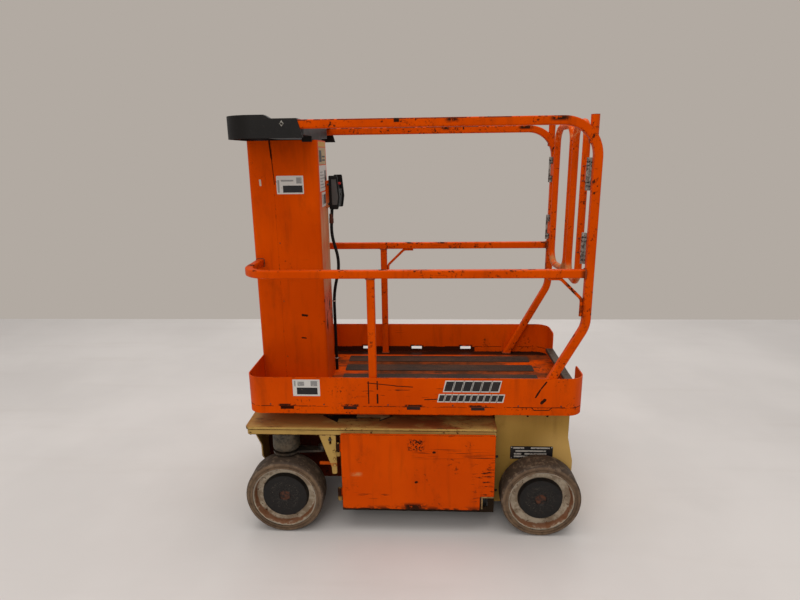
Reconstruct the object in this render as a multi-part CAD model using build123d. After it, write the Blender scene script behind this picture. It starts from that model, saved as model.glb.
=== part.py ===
"""Compact driveable vertical-mast lift: wheeled chassis, telescoping mast, guarded platform.

Frame: millimetres, +Z up, -X forward (the steered axle and the mast), +Y to the machine's right.
The origin is on the floor, midway between the axles and between the wheels.
Heights are stacked up from the tyres, and lengths are set out from the two axles.
"""

from build123d import *
import os
from collections import namedtuple
from math import atan2, cos, degrees, hypot, radians

os.makedirs("parts", exist_ok=True)

# ---- clearances -------------------------------------------------------------
SEAT = 0.3          # between two pieces that are bolted or rest on each other
RUN = 6.0           # between pieces that move past each other
PIN_FIT = 0.05      # radial clearance of a pin or shaft that turns in a bore
OPEN_FIT = 1.0      # radial clearance at the eye that closes the steering linkage
SHEET = 6.0         # chassis sheet

# ---- wheels and axles -------------------------------------------------------
WHEELBASE = 1054.0
OVERALL_WIDTH = 760.0
TYRE_RADIUS = 161.5
TYRE_WIDTH = 100.0
TYRE_SHOULDER = 12.0
RUBBER_BAND = 28.5          # thickness of the solid rubber on the rim
BEAD_GROOVE = 2.5           # depth of the ring pressed into each sidewall
RIM_WALL = 8.0
RIM_INSET = 3.0             # the rim barrel is this much narrower than the tyre, each side
HUB_DISC_RADIUS = {"front": 97.5, "rear": 92.0}
HUB_DISC_DEPTH = 20.0
HUB_BOSS_RADIUS = 46.0
HUB_CAP_RADIUS = 22.0
WHEEL_BOLTS = 5
WHEEL_BOLT_RADIUS = 9.0
WEB_OFFSET = 8.0            # rim web, outward from the wheel's middle plane
WEB_T = 8.0
AXLE_RADIUS = 20.0
AXLE_TIP = 14.0             # where an axle stub ends, on the same measure
FRONT_X = -WHEELBASE / 2
REAR_X = WHEELBASE / 2
WHEEL_Y = (OVERALL_WIDTH - TYRE_WIDTH) / 2
WHEEL_INNER_Y = WHEEL_Y - TYRE_WIDTH / 2
WHEEL_Z = TYRE_RADIUS
RIM_RADIUS = TYRE_RADIUS - RUBBER_BAND

# ---- steering ---------------------------------------------------------------
STEER_LIMIT = 55.0
KING_Y = WHEEL_INNER_Y + 4
KING_RADIUS = 56.0
KING_HEIGHT = 108.7
KING_FLANGE_X = 90.0        # half length of the bolted flange
KING_FLANGE_T = 12.0
YOKE_T = 9.0
YOKE_LEG_Y = WHEEL_INNER_Y - 16
YOKE_LEG_T = 16.0
YOKE_LEG_W = 90.0
STEER_ARM = 150.0
STEER_ARM_W = 32.0
STEER_PIN_RADIUS = 8.0
TIE_EYE_T = 17.0
TIE_RADIUS = 8.0
YOKE_TOP = 2 * TYRE_RADIUS + RUN + YOKE_T
KING_BOTTOM = YOKE_TOP + RUN

# ---- chassis ----------------------------------------------------------------
GROUND_CLEARANCE = 86.0
PLATE_T = 6.0
PLATE_LIP = 24.0            # depth of the folded edge
SLAB_T = 11.0               # flat slab welded on the folded plate
SLAB_OVERHANG = 4.0
PLATE_CORNER = 18.0
NOSE_REACH = 144.0          # from the front axle to the front edge
STEER_BAY = 237.0           # from the front axle to the door bay
DRIVE_BAY = 187.0           # from the door bay to the rear axle
BAY_FLANGE = 26.0
PLATE_UNDER = KING_BOTTOM + KING_HEIGHT + SEAT
PLATE_TOP = PLATE_UNDER + PLATE_T + SLAB_T
LIP_BOTTOM = PLATE_UNDER + PLATE_T - PLATE_LIP
PLATE_FRONT_X = FRONT_X - NOSE_REACH
PLATE_HALF_W = OVERALL_WIDTH / 2 - 28
TUB_FRONT_X = FRONT_X + STEER_BAY
TUB_REAR_X = REAR_X - DRIVE_BAY
TUB_HALF_W = PLATE_HALF_W - SHEET
PLATE_REAR_X = TUB_REAR_X + 2
SPINE_BOTTOM = GROUND_CLEARANCE + 4
SPINE_FRONT_X = PLATE_FRONT_X + SHEET + 5
GUSSET_LENGTH = 69.0
GUSSET_TAB = 176.0          # from the folded edge down to the tab's end
STOP_BAR_RADIUS = 7.0
APRON_IN = 119.0            # nose plate's low edge, inboard of the kingpin
APRON_WAIST = 88.0
APRON_FLARE = 68.0          # width that the nose plate gains above the tyres, each side
REAR_FRAME_HALF_W = WHEEL_INNER_Y - 30
REAR_COVER_HALF_W = WHEEL_INNER_Y - 12
REAR_COVER_WALL = 5.0
MOTOR_RADIUS = 52.0
MOTOR_INBOARD = 60.0        # how far a drive motor reaches in from the rear frame's side
AXLE_TUBE_RADIUS = 30.0
BAY_FLOOR = GROUND_CLEARANCE + SHEET + SEAT
BATTERY_HEADROOM = 91.0     # from the battery to the chassis plate
BATTERY_WIDTH = 180.0
BATTERY_GAP = 28.0          # round each battery, along the bay
BATTERY_POST = 14.0
TANK_HEADROOM = 161.0
TANK_WIDTH = 180.0
TANK_LENGTH = 240.0
TANK_END = 40.0             # from the bay's end walls to the tank and the charger
PUMP_RADIUS = 52.0
CHARGER_LENGTH = 260.0
CHARGER_HEADROOM = 181.0
CHARGER_FINS = 7

# ---- doors ------------------------------------------------------------------
DOOR_IN_Y = PLATE_HALF_W + 5
DOOR_T = 12.0
DOOR_SKIN = 4.0
DOOR_RIM = 14.0
DOOR_CORNER = 6.0
DOOR_NOTCH_X = 57.0         # cut at the lower rear corner, round the latch
DOOR_NOTCH_Z = 64.0
DOOR_HINGE_RADIUS = 9.0
DOOR_PIN_RADIUS = 5.0
DOOR_KNUCKLE = 36.0
DOOR_LUG = 20.0
DOOR_FRONT_X = TUB_FRONT_X + 5
DOOR_REAR_X = TUB_REAR_X - 3
DOOR_BOTTOM = GROUND_CLEARANCE + 24
DOOR_TOP = PLATE_UNDER - RUN
DOOR_HINGE_X = TUB_FRONT_X - 6
DOOR_HINGE_Y = DOOR_IN_Y + 5
DOOR_HINGE_Z = (DOOR_BOTTOM + 56, DOOR_TOP - 77)

# ---- platform ---------------------------------------------------------------
DECK_RISE = 64.5            # from the chassis top to the underside of the deck
DECK_T = 6.5
DECK_LIP = 25.0
DECK_CORNER = 60.0
BOARD_T = 4.0
TOE_HEIGHT = 147.0
TOE_RETURN = 150.0          # how far the toe board wraps round each rear corner
DRAIN_SLOT = (53.0, 12.0, 3.0)      # length, depth into the lip, rise into the toe board
DRAIN_PITCH = 252.0
DRAIN_SLOTS = 4
SILL_HEIGHT = 69.0
SILL_DEPTH = 34.0
GRIP_PITCH = 120.0
GRIP_WIDTH = 76.0
GRIP_FRONT_GAP = 49.0       # from the mast cover to the strips
GRIP_REAR_GAP = 109.0       # from the strips to the entry edge
GRIP_SIDE_GAP = 60.0        # both sides together
RIB_DEPTH = 20.0
DECK_HALF_W = OVERALL_WIDTH / 2 - 20
DECK_FRONT_X = FRONT_X - 128
DECK_REAR_X = REAR_X + 148
DECK_UNDER = PLATE_TOP + DECK_RISE
DECK_TOP = DECK_UNDER + DECK_T
DECK_LIP_TOP = DECK_TOP + DECK_LIP
TOE_TOP = DECK_TOP + TOE_HEIGHT
SILL_TOP = DECK_TOP + SILL_HEIGHT

# ---- guard rails ------------------------------------------------------------
RAIL_HEIGHT = 1098.0
MID_RAIL_HEIGHT = 557.0
KNEE_HEIGHT = 357.0
RAIL_HALF = 15.5            # half the side of the square tube
RAIL_CORNER = 6.0
RAIL_FRONT_BEND = 100.0
POST_BEND = 125.0
KNEE_BEND = 110.0
LEG_RAKE = 190.0            # how far the leg's foot stands in front of the post
STUB_RADIUS = 15.0
BRACE_RADIUS = 6.0
BRACE_RUN = 45.0            # part of a brace that lies under the mid rail
BRACE_REACH = 86.0          # from the post to where the brace turns down
BRACE_DROP = 78.0
BRACE_FOOT = 66.0           # part of a brace that lies along the post
TOP_RAIL_Z = DECK_TOP + RAIL_HEIGHT
MID_RAIL_Z = DECK_TOP + MID_RAIL_HEIGHT
KNEE_Z = DECK_TOP + KNEE_HEIGHT
RAIL_Y = DECK_HALF_W - BOARD_T - SEAT - RAIL_HALF
RAIL_FRONT_X = DECK_FRONT_X + RAIL_HALF + 3.5
POST_X = DECK_REAR_X - 14
MID_POST_X = RAIL_FRONT_X + 487
STUB_X = POST_X - RAIL_HALF - 2.5

# ---- gates ------------------------------------------------------------------
GATE_RADIUS = 14.0
GATE_BEND = 65.0
GATE_GAP = 22.0             # from the middle of the entry to each gate's free tube
GATE_FOOT = 63.0            # gate bottom below the mid rail, to the tube axes
GATE_REACH = 82.0           # from the hinge pin to the gate's outer tube
GATE_SKEW = 15.0            # how far the free tube stands behind the hinged one
GATE_PIN_RADIUS = 4.0
GATE_LUG_RADIUS = 7.0
GATE_STRAP_H = 115.0
GATE_KNUCKLE_H = 54.0
GATE_STRAP_T = 6.0
GATE_HINGE_X = POST_X - 23
GATE_HINGE_Y = RAIL_Y - 26.2
GATE_OUTER_X = POST_X - 13
GATE_FREE_X = GATE_OUTER_X + GATE_SKEW
GATE_OUTER_Y = GATE_HINGE_Y - GATE_REACH
GATE_TOP_Z = TOP_RAIL_Z
GATE_BOTTOM_Z = MID_RAIL_Z - GATE_FOOT
GATE_HINGE_Z = (GATE_BOTTOM_Z + 153, GATE_TOP_Z - 184)

# ---- mast -------------------------------------------------------------------
MAST_REACH = 121.0          # the fixed section's web in front of the front axle
MAST_HALF_W = 88.0
MAST_DEPTH = 169.0
BASE_WALL = 6.0
MAST_WALL = 5.0
MAST_LIP = 12.0
MAST_CORNER = 8.0           # outside radius of the folds
MAST_HEADROOM = 35.7        # from the fixed section's top to the cover's top
PAD_HEIGHT = 50.0
PAD_END = 10.0
BARREL_RADIUS = 25.0
BARREL_BORE = 20.0
BARREL_LENGTH = 1123.7
BARREL_FLOOR = 12.0
GLAND_T = 40.0
ROD_RADIUS = 17.0
ROD_REACH = 42.0            # of the rod above the barrel when it is lowered
PISTON_T = 20.0
CROSSHEAD_T = 22.0
FOOT_HALF_W = 40.0
FOOT_T = 40.0
FOOT_TIP_T = 24.0
FOOT_LENGTH = 618.0
ARM_T = 8.0

# ---- mast cover, tray and controls ------------------------------------------
COVER_WALL = 4.0
COVER_FRONT_GAP = 6.7
COVER_SIDE_GAP = 8.0
COVER_DEPTH = 286.3
COVER_FRONT_DEPTH = 101.7   # of the front half, up to the seam
COVER_CORNER = 14.0
TRAY_WALL = 4.0
TRAY_SKIRT = 31.5           # below the top rail's tube
TRAY_NOSE_RISE = 13.2
TRAY_NOSE_GAP = 17.0        # between the top rail and the tray's nose
TRAY_NOSE_LENGTH = 165.0
TRAY_SLOPE = 22.0
TRAY_END_SLANT = 20.0
TRAY_FLOOR_RISE = 14.0
SADDLE_LENGTH = 40.0
SADDLE_WALL = 7.0
BOX_WIDTH = 150.0
BOX_DEPTH = 46.0
BOX_HEIGHT = 146.0
BOX_DROP = 193.0            # box top below the top rail's axis
BOX_Y0 = 90.0
CHEEK_T = 8.0
CABLE_RADIUS = 7.0
CABLE_BOW = 35.0            # how far the cable's slack stands off the cover
MAST_WEB_X = FRONT_X - MAST_REACH
COVER_HALF_W = MAST_HALF_W + COVER_SIDE_GAP + COVER_WALL
COVER_FRONT_X = MAST_WEB_X - COVER_FRONT_GAP - COVER_WALL
COVER_SEAM_X = COVER_FRONT_X + COVER_FRONT_DEPTH
COVER_REAR_X = COVER_FRONT_X + COVER_DEPTH
TRAY_TOP = TOP_RAIL_Z + RAIL_HALF + SEAT + TRAY_WALL
TRAY_BOTTOM = TOP_RAIL_Z - RAIL_HALF - TRAY_SKIRT
TRAY_FLOOR = TRAY_BOTTOM + TRAY_FLOOR_RISE
TRAY_REAR_X = COVER_REAR_X + 1.4
COVER_TOP = TRAY_BOTTOM - SEAT
SPINE_HALF_W = MAST_HALF_W + SHEET + RUN
BARREL_X = MAST_WEB_X + BASE_WALL + RUN + BARREL_RADIUS
BOX_TOP = TOP_RAIL_Z - BOX_DROP
BOX_BOTTOM = BOX_TOP - BOX_HEIGHT
BOX_X = COVER_REAR_X + 6.4

SIDES = (("left", -1), ("right", 1))
BEYOND = 2000.0             # longer than anything that is cut through


# ---- shapes -----------------------------------------------------------------
def block(x0, x1, y0, y1, z0, z1):
    """A box between two corners."""
    return Pos((x0 + x1) / 2, (y0 + y1) / 2, (z0 + z1) / 2) * Box(x1 - x0, abs(y1 - y0), z1 - z0)


def post(x, y, z0, z1, radius):
    """A round bar standing on its end."""
    return Pos(x, y, (z0 + z1) / 2) * Cylinder(radius, z1 - z0)


def bar_x(x0, x1, y, z, radius):
    """A round bar lying along the machine."""
    return Pos((x0 + x1) / 2, y, z) * Rot(0, 90, 0) * Cylinder(radius, x1 - x0)


def bar_y(x, y0, y1, z, radius):
    """A round bar lying across the machine."""
    return Pos(x, (y0 + y1) / 2, z) * Rot(90, 0, 0) * Cylinder(radius, abs(y1 - y0))


def bent_tube(points, radii, radius, closed=False):
    """A round bar along straight runs joined by tangent arcs."""
    path = FilletPolyline(*points, radius=radii, close=closed)
    start = Plane(path @ 0, z_dir=path % 0)
    return sweep(start * Circle(radius), path)


def bent_bar(points, radii, half, corner):
    """A round-cornered square bar along level or upright runs joined by tangent arcs."""
    path = FilletPolyline(*points, radius=radii)
    start = Plane(path @ 0, x_dir=(0, 0, 1), z_dir=path % 0)
    return sweep(start * RectangleRounded(2 * half, 2 * half, corner), path)


def square_post(x, y, z0, z1, half, corner):
    """A round-cornered square bar standing on its end."""
    return Pos(x, y, z0) * extrude(RectangleRounded(2 * half, 2 * half, corner), z1 - z0)


def outline(points, corner=None):
    """A flat shape with sharp corners, or with all of them rounded alike."""
    if corner is None:
        return make_face(Polyline(*points, close=True))
    return make_face(FilletPolyline(*points, radius=corner, close=True))


def slab_xz(points, y0, y1, corner=None):
    """A plate with an outline in X and Z, between two distances across."""
    return Pos(0, y1, 0) * extrude(Plane.XZ * outline(points, corner), y1 - y0)


def slab_yz(points, x0, x1, corner=None):
    """A plate with an outline in Y and Z, between two distances along."""
    return Pos(x0, 0, 0) * extrude(Plane.YZ * outline(points, corner), x1 - x0)


def slab_xy(points, z0, z1, corner=None):
    """A plate with an outline in X and Y, between two heights."""
    return Pos(0, 0, z0) * extrude(outline(points, corner), z1 - z0)


def rounded_plan(x0, x1, half_w, corner):
    """A flat outline with four round corners, seen from above."""
    return Pos((x0 + x1) / 2, 0) * RectangleRounded(x1 - x0, 2 * half_w, corner)


def upright(plan, z0, z1):
    """A plan raised between two heights."""
    return Pos(0, 0, z0) * extrude(plan, z1 - z0)


def to_side(shape, side):
    """The right-hand shape, or its mirror image for the left."""
    return shape if side > 0 else mirror(shape, about=Plane.XZ)


def both_sides(shape):
    """The right-hand shape and its mirror image."""
    return together(shape, mirror(shape, about=Plane.XZ))


def together(*shapes):
    """Like pieces that stay apart but share one file."""
    return Compound(children=[solid for shape in shapes for solid in shape.solids()])


def save(node, shape):
    """Write one piece, or one set of like pieces, to its own file."""
    shape.label = node
    export_step(shape, "parts/" + node + ".step")


# ---- wheels -----------------------------------------------------------------
def at_wheel(shape, x, side):
    """A wheel part made with +Z outward, put on its axle."""
    return Pos(x, side * WHEEL_Y, WHEEL_Z) * Rot(-90 * side, 0, 0) * shape


def tyre(x, side):
    """Solid rubber tyre with round shoulders and a pressed ring in each sidewall."""
    band = Cylinder(TYRE_RADIUS, TYRE_WIDTH)
    band = fillet(band.edges().filter_by(GeomType.CIRCLE), TYRE_SHOULDER)
    band -= Cylinder(RIM_RADIUS, 2 * TYRE_WIDTH)
    ring_in = RIM_RADIUS + RUBBER_BAND / 4
    groove = Cylinder(ring_in + RUBBER_BAND / 5, 2 * BEAD_GROOVE) - Cylinder(ring_in, 2 * BEAD_GROOVE)
    for end in (-TYRE_WIDTH / 2, TYRE_WIDTH / 2):
        band -= Pos(0, 0, end) * groove
    return at_wheel(band, x, side)


def rim(place, x, side):
    """Dished rim with its bolted web, hub boss and closed hub disc, turned from one profile."""
    disc = HUB_DISC_RADIUS[place]
    depth = TYRE_WIDTH / 2 - RIM_INSET
    outer = RIM_RADIUS - SEAT
    inner = outer - RIM_WALL
    face = WEB_OFFSET + WEB_T
    top = face + HUB_DISC_DEPTH
    boss_low = -28
    profile = [(0, boss_low), (HUB_BOSS_RADIUS, boss_low), (HUB_BOSS_RADIUS, WEB_OFFSET),
               (inner - 6, WEB_OFFSET), (inner, WEB_OFFSET - 6), (inner, -depth), (outer, -depth),
               (outer, depth), (outer - 5, depth), (inner, face + 6), (inner - 3, face), (disc, face),
               (disc - 6, top), (HUB_CAP_RADIUS + 4, top), (HUB_CAP_RADIUS, top - 5), (0, top - 5)]
    body = revolve(Plane.XZ * outline(profile), Axis.Z)
    bore_top = AXLE_TIP + 1
    body -= Pos(0, 0, (boss_low + bore_top) / 2) * Cylinder(AXLE_RADIUS + PIN_FIT, bore_top - boss_low)
    bolt = Pos(0, 0, 4) * extrude(RegularPolygon(WHEEL_BOLT_RADIUS, 6), WEB_T)
    for spot in PolarLocations((disc + inner) / 2, WHEEL_BOLTS):
        body += Pos(0, 0, WEB_OFFSET) * spot * bolt
    return at_wheel(body, x, side)


# ---- chassis ----------------------------------------------------------------
def chassis_plate():
    """Folded plate with a flat slab on it, slotted for the mast."""
    tail = PLATE_REAR_X + 2 * PLATE_CORNER
    fold = rounded_plan(PLATE_FRONT_X, tail, PLATE_HALF_W, PLATE_CORNER)
    hollow = rounded_plan(PLATE_FRONT_X + SHEET, tail + SHEET, PLATE_HALF_W - SHEET, PLATE_CORNER - SHEET)
    out = SLAB_OVERHANG
    slab = rounded_plan(PLATE_FRONT_X - out, tail + out, PLATE_HALF_W + out, PLATE_CORNER)
    plate = upright(fold, LIP_BOTTOM, PLATE_UNDER + PLATE_T + 1)
    plate -= upright(hollow, LIP_BOTTOM - 1, PLATE_UNDER)
    deck = upright(slab, PLATE_UNDER + PLATE_T, PLATE_TOP)
    plate += fillet(deck.edges().group_by(Axis.Z)[-1], SLAB_T / 4)
    plate -= block(PLATE_REAR_X, tail + BEYOND, -BEYOND, BEYOND, 0, BEYOND)
    base = MAST["base"]
    gap = RUN / 3
    slot = block(base.web_x - gap, base.tip_x + gap, -base.half_w - gap, base.half_w + gap, 0, BEYOND)
    return plate - slot


def bay_wall(x, outward):
    """End wall of the door bay: a channel whose flanges frame both doors; outward is -1 or 1."""
    low, high = GROUND_CLEARANCE, PLATE_UNDER - SEAT
    x0, x1 = sorted((x, x - outward * BAY_FLANGE))
    wall = block(x0, x1, -TUB_HALF_W, TUB_HALF_W, low, high)
    c0, c1 = sorted((x - outward * SHEET, x - outward * (BAY_FLANGE + 1)))
    return wall - block(c0, c1, -TUB_HALF_W + SHEET, TUB_HALF_W - SHEET, low - 1, high + 1)


def door_lugs(side):
    """Two lugs with upright pins that a door hangs on, on the right."""
    lugs = None
    x0 = DOOR_HINGE_X - DOOR_HINGE_RADIUS
    for z in DOOR_HINGE_Z:
        lug = block(x0, TUB_FRONT_X + 1, TUB_HALF_W - 20, DOOR_HINGE_Y, z - DOOR_LUG, z)
        lug += post(DOOR_HINGE_X, DOOR_HINGE_Y, z - DOOR_LUG, z, DOOR_HINGE_RADIUS)
        lug += post(DOOR_HINGE_X, DOOR_HINGE_Y, z - DOOR_LUG, z + DOOR_KNUCKLE, DOOR_PIN_RADIUS)
        lugs = lug if lugs is None else lugs + lug
    return to_side(lugs, side)


def chassis_tub():
    """Door bay between the axles: two end channels, a floor pan and a middle wall."""
    front = bay_wall(TUB_FRONT_X, -1)
    for name, side in SIDES:
        front += door_lugs(side)
    rear = bay_wall(TUB_REAR_X, 1)
    x0, x1 = TUB_FRONT_X + BAY_FLANGE + SEAT, TUB_REAR_X - BAY_FLANGE - SEAT
    pan = [(-TUB_HALF_W, GROUND_CLEARANCE), (TUB_HALF_W, GROUND_CLEARANCE),
           (TUB_HALF_W, GROUND_CLEARANCE + BAY_FLANGE), (TUB_HALF_W - SHEET, GROUND_CLEARANCE + BAY_FLANGE),
           (TUB_HALF_W - SHEET, GROUND_CLEARANCE + SHEET), (SHEET - TUB_HALF_W, GROUND_CLEARANCE + SHEET),
           (SHEET - TUB_HALF_W, GROUND_CLEARANCE + BAY_FLANGE), (-TUB_HALF_W, GROUND_CLEARANCE + BAY_FLANGE)]
    floor = slab_yz(pan, x0, x1)
    middle = block(x0, x1, -SHEET / 2, SHEET / 2, GROUND_CLEARANCE + SHEET + SEAT, PLATE_UNDER - SEAT)
    return together(front, rear, floor, middle)


def latch_bracket(side):
    """Angle that the door latch closes on, in the notch of the door."""
    x0 = DOOR_REAR_X - DOOR_NOTCH_X + RUN
    low = DOOR_BOTTOM
    top = DOOR_BOTTOM + DOOR_NOTCH_Z - RUN
    arm = [(x0, low), (x0 + SHEET, low), (x0 + SHEET, top - SHEET), (DOOR_REAR_X, top - SHEET),
           (DOOR_REAR_X, top), (x0, top)]
    bracket = slab_xz(arm, TUB_HALF_W + SEAT, DOOR_IN_Y + DOOR_SKIN)
    return to_side(bracket, side)


def chassis_spine():
    """Box between the steered wheels that holds the mast, with a window in each cheek for the tie rod."""
    top = PLATE_UNDER - SEAT
    rear = TUB_FRONT_X - SEAT
    tie_x = FRONT_X + STEER_ARM
    tie_z = YOKE_TOP + SEAT + TIE_EYE_T / 2
    travel = STEER_ARM * (1 - cos(radians(STEER_LIMIT)))
    reach = TIE_RADIUS + 2 * RUN
    outer, inner = SPINE_HALF_W, SPINE_HALF_W - SHEET
    sill = block(SPINE_FRONT_X, rear, inner, outer, SPINE_BOTTOM, tie_z - reach - SEAT)
    strap = block(SPINE_FRONT_X, rear, inner, outer, tie_z + reach + SEAT, top)
    fore = block(SPINE_FRONT_X, tie_x - travel - reach, inner, outer, tie_z - reach, tie_z + reach)
    aft = block(tie_x + reach, rear, inner, outer, tie_z - reach, tie_z + reach)
    half = inner - SEAT
    floor = block(SPINE_FRONT_X, rear, -half, half, SPINE_BOTTOM, SPINE_BOTTOM + SHEET)
    low = SPINE_BOTTOM + SHEET + SEAT
    nose = block(SPINE_FRONT_X, MAST_WEB_X - SEAT, -half, half, low, top)
    tail = block(rear - SHEET, rear, -half, half, low, top)
    cheeks = [both_sides(plate) for plate in (sill, fore, aft, strap)]
    return together(*cheeks, floor, nose, tail)


def king_housing(side):
    """Kingpin bearing: a round housing with a bolted flange, on a tapered arm from the spine."""
    top = PLATE_UNDER - SEAT
    body = post(FRONT_X, KING_Y, KING_BOTTOM, top, KING_RADIUS)
    body = fillet(body.edges().filter_by(GeomType.CIRCLE).group_by(Axis.Z)[0], 10)
    ear = Pos(FRONT_X, KING_Y) * SlotOverall(2 * KING_FLANGE_X, 2 * 22)
    body += upright(ear, top - KING_FLANGE_T, top)
    for x in (FRONT_X - KING_FLANGE_X + 16, FRONT_X + KING_FLANGE_X - 16):
        head = Pos(x, KING_Y) * RegularPolygon(12, 6)
        body += upright(head, top - KING_FLANGE_T - 12, top - KING_FLANGE_T + 1)
    root = SPINE_HALF_W + SEAT
    arm = [(root, top), (root, top - 96), (KING_Y, top - 56), (KING_Y, top)]
    for x in (FRONT_X - 40, FRONT_X + 40 - SHEET):
        body += slab_yz(arm, x, x + SHEET)
    body -= post(FRONT_X, KING_Y, KING_BOTTOM - 1, top - KING_FLANGE_T, AXLE_RADIUS + PIN_FIT)
    return to_side(body, side)


def bay_gusset(side):
    """Side plate behind a steered wheel: slanted edge, round tab, slot, bolts and a stop bar."""
    back = DOOR_HINGE_X - DOOR_HINGE_RADIUS - SEAT
    top = LIP_BOTTOM - SEAT
    end = LIP_BOTTOM - GUSSET_TAB
    tab = 22
    points = [(back - GUSSET_LENGTH, top), (back, top), (back, end), (back - tab, end),
              (back - tab, end + 30)]
    plate = slab_xz(points, PLATE_HALF_W - SHEET, PLATE_HALF_W)
    plate = fillet(plate.edges().filter_by(Axis.Y).group_by(Axis.Z)[0], 8)
    slot = Pos(back - 24, PLATE_HALF_W, top - 24) * Rot(90, 0, 0) * Rot(0, 0, 90) * SlotOverall(34, 8)
    plate -= extrude(slot, SHEET + 1, both=True)
    for drop in (72, 106, 134):
        plate += bar_y(back - 9, PLATE_HALF_W - 1, PLATE_HALF_W + 4, top - drop, 6)
    bar_in = PLATE_HALF_W - SHEET - SEAT - STOP_BAR_RADIUS
    stop = bar_x(back - GUSSET_LENGTH - 4, back - 12, bar_in, top - 133, STOP_BAR_RADIUS)
    return to_side(together(plate, stop), side)


def front_apron():
    """Nose plate: narrow between the steered wheels, flared above them to meet the folded edge."""
    top = LIP_BOTTOM - SEAT
    narrow = KING_Y - APRON_IN      # clears the tyres at full lock
    waist = KING_Y - APRON_WAIST
    wide = PLATE_HALF_W - 20
    tyre_mid = WHEEL_Z
    half = [(narrow, SPINE_BOTTOM), (narrow, tyre_mid + 54), (waist, tyre_mid + 84), (waist, tyre_mid + 139),
            (waist + APRON_FLARE, top - 42), (wide, top - 12), (wide, top)]
    points = half + [(-y, z) for y, z in reversed(half)]
    plate = slab_yz(points, SPINE_FRONT_X - SEAT - SHEET, SPINE_FRONT_X - SEAT)
    bends = [e for e in plate.edges().filter_by(Axis.X) if abs(abs(e.center().Y) - waist) < 1]
    return fillet(bends, 24)


def rear_frame():
    """Rear axle carrier: two shaped side plates, a floor and a tail plate."""
    x0, x1 = TUB_REAR_X + SEAT, REAR_X + 77
    low, high = GROUND_CLEARANCE - 6, 2 * WHEEL_Z + 17
    side_points = [(x0, low), (x1, low), (x1, WHEEL_Z + 40), (x1 - 80, high), (x0, high)]
    cheek = slab_xz(side_points, REAR_FRAME_HALF_W - 8, REAR_FRAME_HALF_W)
    cheek -= bar_y(REAR_X, REAR_FRAME_HALF_W - 9, REAR_FRAME_HALF_W + 1, WHEEL_Z, MOTOR_RADIUS + SEAT)
    inner = REAR_FRAME_HALF_W - 8 - SEAT
    floor = block(x0, x1, -inner, inner, low, low + SHEET)
    tail = block(x1 - SHEET, x1, -inner, inner, low + SHEET + SEAT, WHEEL_Z + 30)
    return together(both_sides(cheek), floor, tail)


def rear_axle():
    """Cross tube, two ribbed drive motors and the stubs that carry the rear wheels."""
    motor_in, motor_out = REAR_FRAME_HALF_W - MOTOR_INBOARD, WHEEL_INNER_Y - RUN
    axle = bar_y(REAR_X, -motor_in - 1, motor_in + 1, WHEEL_Z, AXLE_TUBE_RADIUS)
    for name, side in SIDES:
        axle += bar_y(REAR_X, side * motor_in, side * motor_out, WHEEL_Z, MOTOR_RADIUS)
        axle += bar_y(REAR_X, side * (motor_out - 4), side * (WHEEL_Y + AXLE_TIP), WHEEL_Z, AXLE_RADIUS)
        for step in (10, 22, 34):
            y = side * (motor_in + step)
            ring = bar_y(REAR_X, y - 2, y + 2, WHEEL_Z, MOTOR_RADIUS + 1)
            axle -= ring - bar_y(REAR_X, y - 3, y + 3, WHEEL_Z, MOTOR_RADIUS - 4)
    return axle


def rear_cover():
    """Moulded cover over the rear axle: waisted, flared at the back, open below and in front."""
    half, wall = REAR_COVER_HALF_W, REAR_COVER_WALL
    x0 = PLATE_REAR_X + SEAT
    low, high = GROUND_CLEARANCE, DECK_UNDER - 12
    waist, tail = REAR_X + 119, REAR_X + 142
    points = [(x0 - wall, low - wall), (tail - 40, low - wall), (tail, WHEEL_Z + 80), (tail, WHEEL_Z + 122),
              (waist, WHEEL_Z + 230), (waist, high - 16), (waist - 20, high), (x0 - wall, high)]
    skin = slab_xz(points, -half, half, 4)
    hollow = Plane.XZ * offset(outline(points, 4), amount=-wall)
    skin -= Pos(0, half - wall, 0) * extrude(hollow, 2 * (half - wall))
    skin &= block(x0, BEYOND, -BEYOND, BEYOND, low, BEYOND)
    return skin - bar_y(REAR_X, -BEYOND / 2, BEYOND / 2, WHEEL_Z, MOTOR_RADIUS + 8)


def battery_pack():
    """Two traction batteries with lids and posts, behind the left-hand door."""
    height = PLATE_UNDER - BAY_FLOOR - BATTERY_HEADROOM
    length = (TUB_REAR_X - TUB_FRONT_X - 3 * BATTERY_GAP) / 2
    y0 = -TUB_HALF_W + 16
    y1 = y0 + BATTERY_WIDTH
    cells = []
    for x0 in (TUB_FRONT_X + BATTERY_GAP, TUB_FRONT_X + 2 * BATTERY_GAP + length):
        x1 = x0 + length
        cell = block(x0 + 3, x1 - 3, y0 + 3, y1 - 3, BAY_FLOOR, BAY_FLOOR + height)
        cell += block(x0, x1, y0, y1, BAY_FLOOR + height - 40, BAY_FLOOR + height - 12)
        for x in (x0 + 40, x1 - 40):
            cell += post(x, (y0 + y1) / 2, BAY_FLOOR + height - 1, BAY_FLOOR + height + BATTERY_POST, 9)
        cells.append(cell)
    return together(*cells)


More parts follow.
